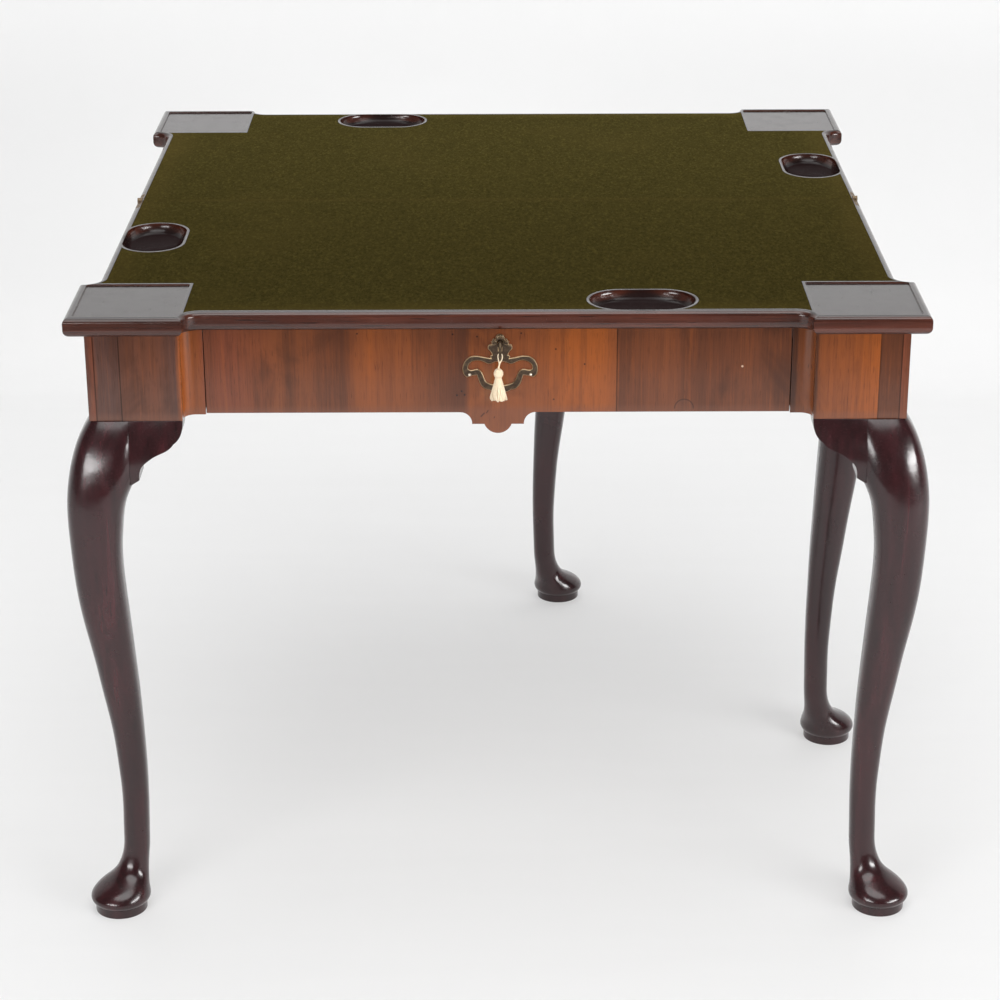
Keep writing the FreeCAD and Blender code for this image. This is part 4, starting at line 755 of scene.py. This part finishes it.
class GAMETABLE_OT_frieze(bpy.types.Operator):
    """Veneer the drawer front, the turret blocks and the side rails"""

    bl_idname = "gametable.frieze"
    bl_label = "Veneered frieze"

    def execute(self, context):
        sizes = context.scene.game_table_sizes
        c = context.scene.game_table_colours
        smoky = blended(c.veneer, c.veneer_dark, 0.65)
        brown = tuple(c.veneer)
        warm = blended(c.veneer, c.veneer_light, 0.45)
        orange = tuple(c.veneer_light)
        red = blended(c.veneer, VENEER_RED, 0.6)
        dusty = VENEER_DUSTY
        # Painted light: a lighter tone for the left block's cove, which faces the right-hand lamp
        cove_lit = shade(c.veneer_light, 1.25)

        def lay(name, node, origin, tones, seams, marks=None):
            stops = [(origin + place, colour) for place, colour in tones]
            coat(veneer(name, stops, [origin + seam for seam in seams], c, sizes.edge_wear, marks), node)

        lay("drawer_veneer", "drawer_front", DRAWER_FACE, (
            (-0.320, blended(red, smoky, 0.5)), (-0.290, red), (-0.232, blended(brown, warm, 0.3)),
            (-0.226, smoky), (-0.214, brown), (-0.176, smoky), (-0.166, smoky), (-0.150, warm),
            (-0.095, blended(brown, warm, 0.5)), (-0.046, smoky), (-0.034, smoky), (-0.030, warm),
            (0.040, warm), (0.075, orange), (0.112, orange), (0.1275, warm), (0.1282, smoky), (0.180, brown),
            (0.215, smoky), (0.260, blended(brown, smoky, 0.6)), (0.320, smoky)), DRAWER_SEAMS, drawer_marks)
        lay("left_turret_veneer", "front_left_turret", BLOCK_FACE, (
            (-0.440, dusty), (-0.431, red), (-0.428, dusty), (-0.405, dusty),
            (-0.400, blended(brown, dusty, 0.5)), (-0.365, blended(brown, dusty, 0.4)), (-0.343, dusty),
            (-0.337, cove_lit), (-0.318, cove_lit), (-0.312, orange), (-0.302, warm),
            (-0.294, red)), LEFT_BLOCK_SEAMS)
        # Painted shade: the stops at 0.326 and 0.340 darken the right block's cove, which faces away from
        # the right-hand lamp
        lay("right_turret_veneer", "front_right_turret", BLOCK_FACE, (
            (0.312, smoky), (0.318, smoky), (0.326, shade(smoky, 0.70)), (0.340, shade(smoky, 0.60)),
            (0.343, warm), (0.372, warm), (0.392, orange), (0.4065, orange), (0.4072, smoky), (0.428, smoky),
            (0.4305, red), (0.445, smoky), (0.540, brown)), RIGHT_BLOCK_SEAMS)
        rail_tones = [(RAIL_SPAN * share, colour) for share, colour in (
            (0.00, brown), (0.16, warm), (0.30, smoky), (0.42, brown), (0.58, warm), (0.72, orange),
            (0.735, smoky), (0.88, brown), (1.00, smoky))]
        for node, side in (("left_side_rail", -1), ("right_side_rail", 1)):
            start = side * RAIL_FACE + RAIL_START
            lay(node + "_veneer", node, start, rail_tones, [RAIL_SPAN * RAIL_SEAM_SHARE])
        return {"FINISHED"}


class GAMETABLE_OT_legs(bpy.types.Operator):
    """Polish the four legs and their knee ears"""

    bl_idname = "gametable.legs"
    bl_label = "Legs"

    def execute(self, context):
        sizes = context.scene.game_table_sizes
        colours = context.scene.game_table_colours
        finish = polished_wood("leg_polish", colours.leg, 2, 60.0, sizes.edge_wear,
                               gloss=0.20, coat_weight=0.40, coat_rough=0.15, depth=0.6, glow=2.1)
        coat(finish, "front_left_leg", "front_right_leg", "rear_right_leg", "gate_leg",
             "front_left_front_ear", "front_left_side_ear", "front_right_front_ear", "front_right_side_ear",
             "rear_right_ear", "gate_ear")
        return {"FINISHED"}


class GAMETABLE_OT_carcase(bpy.types.Operator):
    """Finish the hidden rails, runners, drawer linings and the swinging gate"""

    bl_idname = "gametable.carcase"
    bl_label = "Carcase and gate"

    def execute(self, context):
        edge = context.scene.game_table_sizes.edge_wear
        c = context.scene.game_table_colours
        coat(plain_wood("pine_across", c.pine, 0, 42.0, edge), "back_rail", "front_top_rail", "drawer_stops")
        coat(plain_wood("pine_deep", c.pine, 1, 42.0, edge), "glue_blocks", "left_drawer_runner",
             "right_drawer_runner", "left_drawer_guide", "right_drawer_guide")
        coat(plain_wood("gate_oak_across", c.gate_oak, 0, 46.0, edge), "fixed_hinge_rail")
        coat(plain_wood("gate_oak_deep", c.gate_oak, 1, 46.0, edge), "fly_rail")
        coat(plain_wood("lining_oak_across", c.oak, 0, 48.0, edge), "drawer_back", "drawer_bottom")
        coat(plain_wood("lining_oak_deep", c.oak, 1, 48.0, edge), "drawer_left_side", "drawer_right_side")
        return {"FINISHED"}


class GAMETABLE_OT_metal(bpy.types.Operator):
    """Finish the brass hinges, pins and key, and the iron lock and screws"""

    bl_idname = "gametable.metal"
    bl_label = "Brass and iron"

    def execute(self, context):
        c = context.scene.game_table_colours
        coat(old_brass("pin_brass", PIN_BRASS, c.patina, 0.0, 0.0, 0.0003), "escutcheon_pins")
        coat(old_brass("key_brass", c.brass, shade(c.patina, 0.45), 1.0, 0.12, 0.0005), "key")
        coat(old_brass("hinge_brass", c.brass, c.patina, 0.85, 0.0, 0.0005), "left_leaf_hinge_fixed",
             "right_leaf_hinge_fixed", "left_leaf_hinge_moving", "right_leaf_hinge_moving",
             "left_leaf_hinge_pin", "right_leaf_hinge_pin", "leaf_hinge_screws_fixed",
             "leaf_hinge_screws_moving", "lock_keeper", "lock_bolt")
        coat(dark_iron("lock_iron", c, 0.0004), "lock_case", "lock_cover", "lock_screws", "gate_pin",
             "hinge_rail_screws", "top_screws")
        return {"FINISHED"}


class GAMETABLE_OT_lock_plate(bpy.types.Operator):
    """Chamfer the pierced lock plate and raise the ribs of its shell"""

    bl_idname = "gametable.lock_plate"
    bl_label = "Lock plate"

    def execute(self, context):
        c = context.scene.game_table_colours
        finish = old_brass("plate_brass", c.brass, c.patina, 1.0, 0.80, 0.0003, 0.32)

        # Plate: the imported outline, merged, with its front edges drawn in and their rim set back
        form = bmesh.new()
        form.from_mesh(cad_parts["escutcheon_plate"].data)
        bmesh.ops.remove_doubles(form, verts=form.verts, dist=1e-6)
        front = [face for face in form.faces if face.normal.y < -0.99]
        drawn_in = bmesh.ops.inset_region(form, faces=front, thickness=PLATE_CHAMFER, use_even_offset=True)
        level = {vert for face in front for vert in face.verts}
        rim = {vert for face in drawn_in["faces"] for vert in face.verts} - level
        bmesh.ops.translate(form, verts=list(rim), vec=(0, PLATE_CHAMFER, 0))
        for face in form.faces:
            face.smooth = False
        plate = placed("lock_plate", formed("lock_plate", form), "drawer", finish)
        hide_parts("escutcheon_plate")

        # Ribs: half-round ridges that swell and taper from the keyhole's rim to the shell's edge
        angle = np.radians(np.array(SHELL_RIB_ANGLES))[:, None, None]
        end = np.array(SHELL_RIB_ENDS)[:, None, None]
        along = np.linspace(0, 1, 15)[None, :, None]
        round_ = np.linspace(0, np.pi, 9)[None, None, :]
        out = SHELL_RIB_START + (end - SHELL_RIB_START) * along
        swell = np.sqrt(np.sin(np.pi * (0.04 + 0.92 * along ** 0.8))) * (0.6 + 0.6 * along)
        side = SHELL_RIB_WIDTH * swell * np.cos(round_)
        lift = SHELL_RIB_WIDTH * SHELL_RIB_LIFT * swell * np.sin(round_)
        x = KEYHOLE_X + out * np.cos(angle) - side * np.sin(angle)
        z = KEYHOLE_Z + out * np.sin(angle) + side * np.cos(angle)
        verts = np.stack([x, np.broadcast_to(PLATE_FACE_Y + SHELL_RIB_SINK - lift, x.shape), z], -1)
        columns = x.shape[2]
        corner = np.arange(x.size).reshape(x.shape)[:, :-1, :-1]
        faces = np.stack([corner, corner + columns, corner + columns + 1, corner + 1], -1).reshape(-1, 4)
        piece = new_piece("lock_plate_ribs", verts, faces.tolist(), "drawer", finish)
        turned = bmesh.new()
        turned.from_mesh(piece.data)
        bmesh.ops.recalc_face_normals(turned, faces=turned.faces)
        if sum(face.normal.y for face in turned.faces) > 0:
            bmesh.ops.reverse_faces(turned, faces=turned.faces)
        turned.to_mesh(piece.data)
        turned.free()
        return {"FINISHED"}


class GAMETABLE_OT_tassel(bpy.types.Operator):
    """Make the silk tassel from threads: a knotted head, a bound neck and a loose flared skirt"""

    bl_idname = "gametable.tassel"
    bl_label = "Tassel"

    def execute(self, context):
        sizes = context.scene.game_table_sizes
        finish = silk_thread("tassel_silk", context.scene.game_table_colours, 1500.0)
        rng = np.random.default_rng(7)
        thin = sizes.thread_radius
        parts = []

        # Skirt: threads of a close outer layer and a loose core fall from the neck on a flaring curve
        count = sizes.thread_count
        outer = count * 2 // 5
        order = np.arange(count)
        along = np.linspace(0, 1, 16)
        angle = np.where(order < outer, order * 2 * np.pi / outer, order * GOLDEN_ANGLE)
        inner = np.maximum(order - outer + 0.5, 0.0) / (count - outer)
        reach = np.where(order < outer, 1.0, np.sqrt(inner) * 0.85)
        reach = reach * (0.93 + 0.07 * rng.random(count))
        lock = 0.5 + 0.5 * np.sin(4 * angle + 0.7) * np.sin(3 * angle + 2.1)
        drop = (TASSEL_WAIST - TASSEL_HEM) * (0.87 + 0.08 * lock + 0.08 * rng.random(count))
        flare = NECK_RADIUS + (sizes.skirt_radius - NECK_RADIUS) * along ** 1.08
        pace = (5 + 4 * rng.random(count))[:, None]
        wave = 0.09 * np.sin(along[None, :] * pace + 6 * rng.random(count)[:, None])
        radial = reach[:, None] * flare[None, :] * (1 + 0.05 * (lock[:, None] - 0.5) * along[None, :])
        turn = angle[:, None] + wave * along[None, :]
        skirt = np.stack([TASSEL_X + radial * np.cos(turn), TASSEL_Y + radial * np.sin(turn),
                          TASSEL_WAIST + 0.0012 - drop[:, None] * along[None, :]], -1)
        taper = thin * (0.72 + 0.70 * along - 0.3 * along ** 8)
        parts.append((tubes(skirt, taper[None, :], 6), count, len(along), 6))

        # Head: threads over a ball, slanted as a knot draws them
        count = HEAD_THREADS
        along = np.linspace(0, 1, 14)
        ball = 0.0012 + NECK_RADIUS * np.sin(np.pi * along ** 0.86) ** 0.72 + 0.0012 * along
        turn = (np.arange(count) * 2 * np.pi / count)[:, None] + 0.9 * along[None, :]
        lump = 1 + 0.07 * np.sin(3 * turn + 1.1)
        head = np.stack([TASSEL_X + ball * lump * np.cos(turn), TASSEL_Y + ball * lump * np.sin(turn),
                         np.broadcast_to(TASSEL_TOP - (TASSEL_TOP - TASSEL_WAIST) * along, turn.shape)], -1)
        parts.append((tubes(head, HEAD_THREAD_RADIUS, 6), count, len(along), 6))

        # Binding: a thread wound round the neck, and a knot wound aslant over the head
        for turns, low, high, out, width in (
                (4, TASSEL_WAIST - 0.0012, TASSEL_WAIST + 0.0016, 0.0029, 0.0005),
                (2, TASSEL_TOP - 0.0062, TASSEL_TOP - 0.0030, 0.0042, 0.0007)):
            sweep = np.linspace(0, turns * 2 * np.pi, turns * 28 + 1)
            tilt = 0.0009 * np.sin(sweep + 0.6) if turns == 2 else 0.0
            winding = np.stack([TASSEL_X + out * np.cos(sweep), TASSEL_Y + out * np.sin(sweep),
                                low + (high - low) * sweep / sweep[-1] + tilt], -1)[None]
            parts.append((tubes(winding, width, 7), 1, len(sweep), 7))

        verts, faces, first = [], [], 0
        for points, lines, rings, sides in parts:
            verts.append(points.reshape(-1, 3))
            faces += tube_faces(lines, rings, sides, first)
            first += len(verts[-1])
        piece = new_piece("tassel_threads", np.concatenate(verts), faces, "tassel", finish)
        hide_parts("tassel")
        return {"FINISHED"}


class GAMETABLE_OT_tassel_cord(bpy.types.Operator):
    """Lay the three twisted strands of the tassel's cord loop over the key's bow"""

    bl_idname = "gametable.tassel_cord"
    bl_label = "Tassel cord"

    def execute(self, context):
        route = bpy.data.curves.new("cord_route", "CURVE")
        route.dimensions = "3D"
        line = route.splines.new("NURBS")
        line.points.add(len(CORD_ROUTE) - 1)
        line.points.foreach_set("co", np.c_[np.array(CORD_ROUTE), np.ones(len(CORD_ROUTE))].ravel())
        line.order_u = 3
        line.use_endpoint_u = True
        line.resolution_u = 12
        guide = bpy.data.objects.new("cord_route", route)
        bpy.context.scene.collection.objects.link(guide)
        bpy.context.view_layer.update()
        read = bpy.data.meshes.new_from_object(guide)
        path = np.empty(len(read.vertices) * 3)
        read.vertices.foreach_get("co", path)
        path = path.reshape(-1, 3)
        bpy.data.objects.remove(guide)
        bpy.data.curves.remove(route)
        bpy.data.meshes.remove(read)

        # Each strand winds round the route at a steady pitch, a third of a turn from the next
        strand = CORD_DIAMETER * CORD_STRAND_SHARE
        offset = CORD_DIAMETER / 2 - strand
        step = np.r_[0, np.cumsum(np.linalg.norm(np.diff(path, axis=0), axis=1))]
        direction = np.gradient(path, axis=0)
        direction /= np.linalg.norm(direction, axis=1, keepdims=True)
        across = np.array([0.0, 1.0, 0.0]) + np.zeros_like(path)
        beside = np.cross(direction, across)
        start = np.arange(CORD_STRANDS)[:, None] * 2 * np.pi / CORD_STRANDS
        twist = step / CORD_TWIST_PITCH * 2 * np.pi + start
        winding = np.cos(twist)[..., None] * across + np.sin(twist)[..., None] * beside
        strands = path[None] + offset * winding
        points = tubes(strands, strand, 8)
        finish = silk_thread("cord_silk", context.scene.game_table_colours, 900.0)
        faces = tube_faces(CORD_STRANDS, len(path), 8)
        piece = new_piece("tassel_cord_strands", points, faces, "tassel", finish)
        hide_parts("tassel_cord")
        return {"FINISHED"}


class GAMETABLE_OT_stage(bpy.types.Operator):
    """Set the pale floor and wall, the soft lamps and the camera"""

    bl_idname = "gametable.stage"
    bl_label = "Stage"

    def execute(self, context):
        scene = context.scene
        scene.view_settings.view_transform = "Standard"

        # Floor and wall: one profile of floor, curved corner and wall carried along X
        turn = np.radians(np.linspace(0, 90, 13))
        corner = np.stack([WALL_Y - CORNER_RADIUS + CORNER_RADIUS * np.sin(turn),
                           CORNER_RADIUS * (1 - np.cos(turn))], -1)
        profile = np.concatenate([[[FLOOR_FRONT, 0.0]], corner, [[WALL_Y, WALL_TOP]]])
        verts = [(x, y, z) for x in (-FLOOR_HALF_WIDTH, FLOOR_HALF_WIDTH) for y, z in profile.tolist()]
        row = np.arange(len(profile) - 1)
        faces = np.stack([row, row + len(profile), row + len(profile) + 1, row + 1], -1)
        mesh = bpy.data.meshes.new("studio_floor")
        mesh.from_pydata(verts, [], faces.tolist())
        mesh.polygons.foreach_set("use_smooth", [True] * len(mesh.polygons))
        paint = Finish("studio_white")
        brush = paint.drawn((3, 22, 3), 5.0)
        colour = paint.mix(brush, FLOOR_DARK, FLOOR_LIGHT)
        grain = paint.noise(paint.place, 60.0, 4.0)
        paint.set(Base_Color=colour, Roughness=0.62, Specular_IOR_Level=0.2,
                  Normal=paint.bump(brush + grain * 0.4, 0.12, 0.002))
        seen, mirrored, through = (paint.node("LightPath", None, None, ray)
                                   for ray in ("Is Camera Ray", "Is Glossy Ray", "Is Transmission Ray"))
        seen = seen.most(mirrored).most(through)
        glow = paint.node("Emission", None, {"Color": FLOOR_GLOW, "Strength": 1.0})
        both = paint.node("MixShader", None, {0: seen * FLOOR_GLOW_SHARE, 1: paint.shown(), 2: glow})

        # Seen from behind or from below, the floor and wall are clear
        behind = paint.node("NewGeometry", None, None, "Backfacing")
        clear = paint.node("BsdfTransparent")
        paint.show(paint.node("MixShader", None, {0: behind, 1: both, 2: clear}))
        mesh.materials.append(paint.material)
        floor = bpy.data.objects.new("studio_floor", mesh)
        scene.collection.objects.link(floor)

        world = bpy.data.worlds.new("studio_air")
        world.use_nodes = True
        sky = world.node_tree.nodes["Background"]
        sky.inputs["Color"].default_value = (1.0, 1.0, 1.0, 1.0)
        sky.inputs["Strength"].default_value = ROOM_LIGHT
        scene.world = world

        for name, place, aim, size, power in LAMPS:
            lamp = bpy.data.lights.new(name, "AREA")
            lamp.shape = "ELLIPSE"
            lamp.size, lamp.size_y = size
            lamp.energy = power
            holder = bpy.data.objects.new(name, lamp)
            holder.location = place
            holder.rotation_euler = (Vector(aim) - Vector(place)).to_track_quat("-Z", "Y").to_euler()
            scene.collection.objects.link(holder)

        lens = bpy.data.cameras.new("camera")
        lens.sensor_width = CAMERA_SENSOR
        lens.lens = CAMERA_LENS
        lens.clip_end = CAMERA_REACH
        camera = bpy.data.objects.new("camera", lens)
        camera.location = CAMERA_PLACE
        level = Euler((math.pi / 2 + CAMERA_TILT, 0.0, 0.0)).to_matrix()
        roll = Euler((0.0, 0.0, CAMERA_ROLL)).to_matrix()
        camera.rotation_euler = (level @ roll).to_euler()
        scene.collection.objects.link(camera)
        scene.camera = camera
        return {"FINISHED"}


OPERATORS = (GAMETABLE_OT_stage, GAMETABLE_OT_tassel, GAMETABLE_OT_tassel_cord, GAMETABLE_OT_baize,
             GAMETABLE_OT_leaves, GAMETABLE_OT_frieze, GAMETABLE_OT_legs, GAMETABLE_OT_carcase,
             GAMETABLE_OT_metal, GAMETABLE_OT_lock_plate)


class GAMETABLE_PT_sidebar(bpy.types.Panel):
    """Lists the pieces of the game table and the sizes and colours they use"""

    bl_idname = "GAMETABLE_PT_sidebar"
    bl_label = "Game table"
    bl_space_type = "VIEW_3D"
    bl_region_type = "UI"
    bl_category = "Game table"

    def draw(self, context):
        for operator in OPERATORS:
            self.layout.operator(operator.bl_idname)
        for group in (context.scene.game_table_sizes, context.scene.game_table_colours):
            box = self.layout.box()
            for name in group.__annotations__:
                box.prop(group, name)


CLASSES = (GameTableSizes, GameTableColours, *OPERATORS, GAMETABLE_PT_sidebar)


def register():
    for item in CLASSES:
        bpy.utils.register_class(item)
    bpy.types.Scene.game_table_sizes = PointerProperty(type=GameTableSizes)
    bpy.types.Scene.game_table_colours = PointerProperty(type=GameTableColours)


def unregister():
    del bpy.types.Scene.game_table_colours
    del bpy.types.Scene.game_table_sizes
    for item in reversed(CLASSES):
        bpy.utils.unregister_class(item)


def main():
    """Make every piece in order."""
    register()
    bpy.ops.gametable.stage()
    bpy.ops.gametable.tassel()
    bpy.ops.gametable.tassel_cord()
    bpy.ops.gametable.baize()
    bpy.ops.gametable.leaves()
    bpy.ops.gametable.frieze()
    bpy.ops.gametable.legs()
    bpy.ops.gametable.carcase()
    bpy.ops.gametable.metal()
    bpy.ops.gametable.lock_plate()


if __name__ == "__main__":
    main()
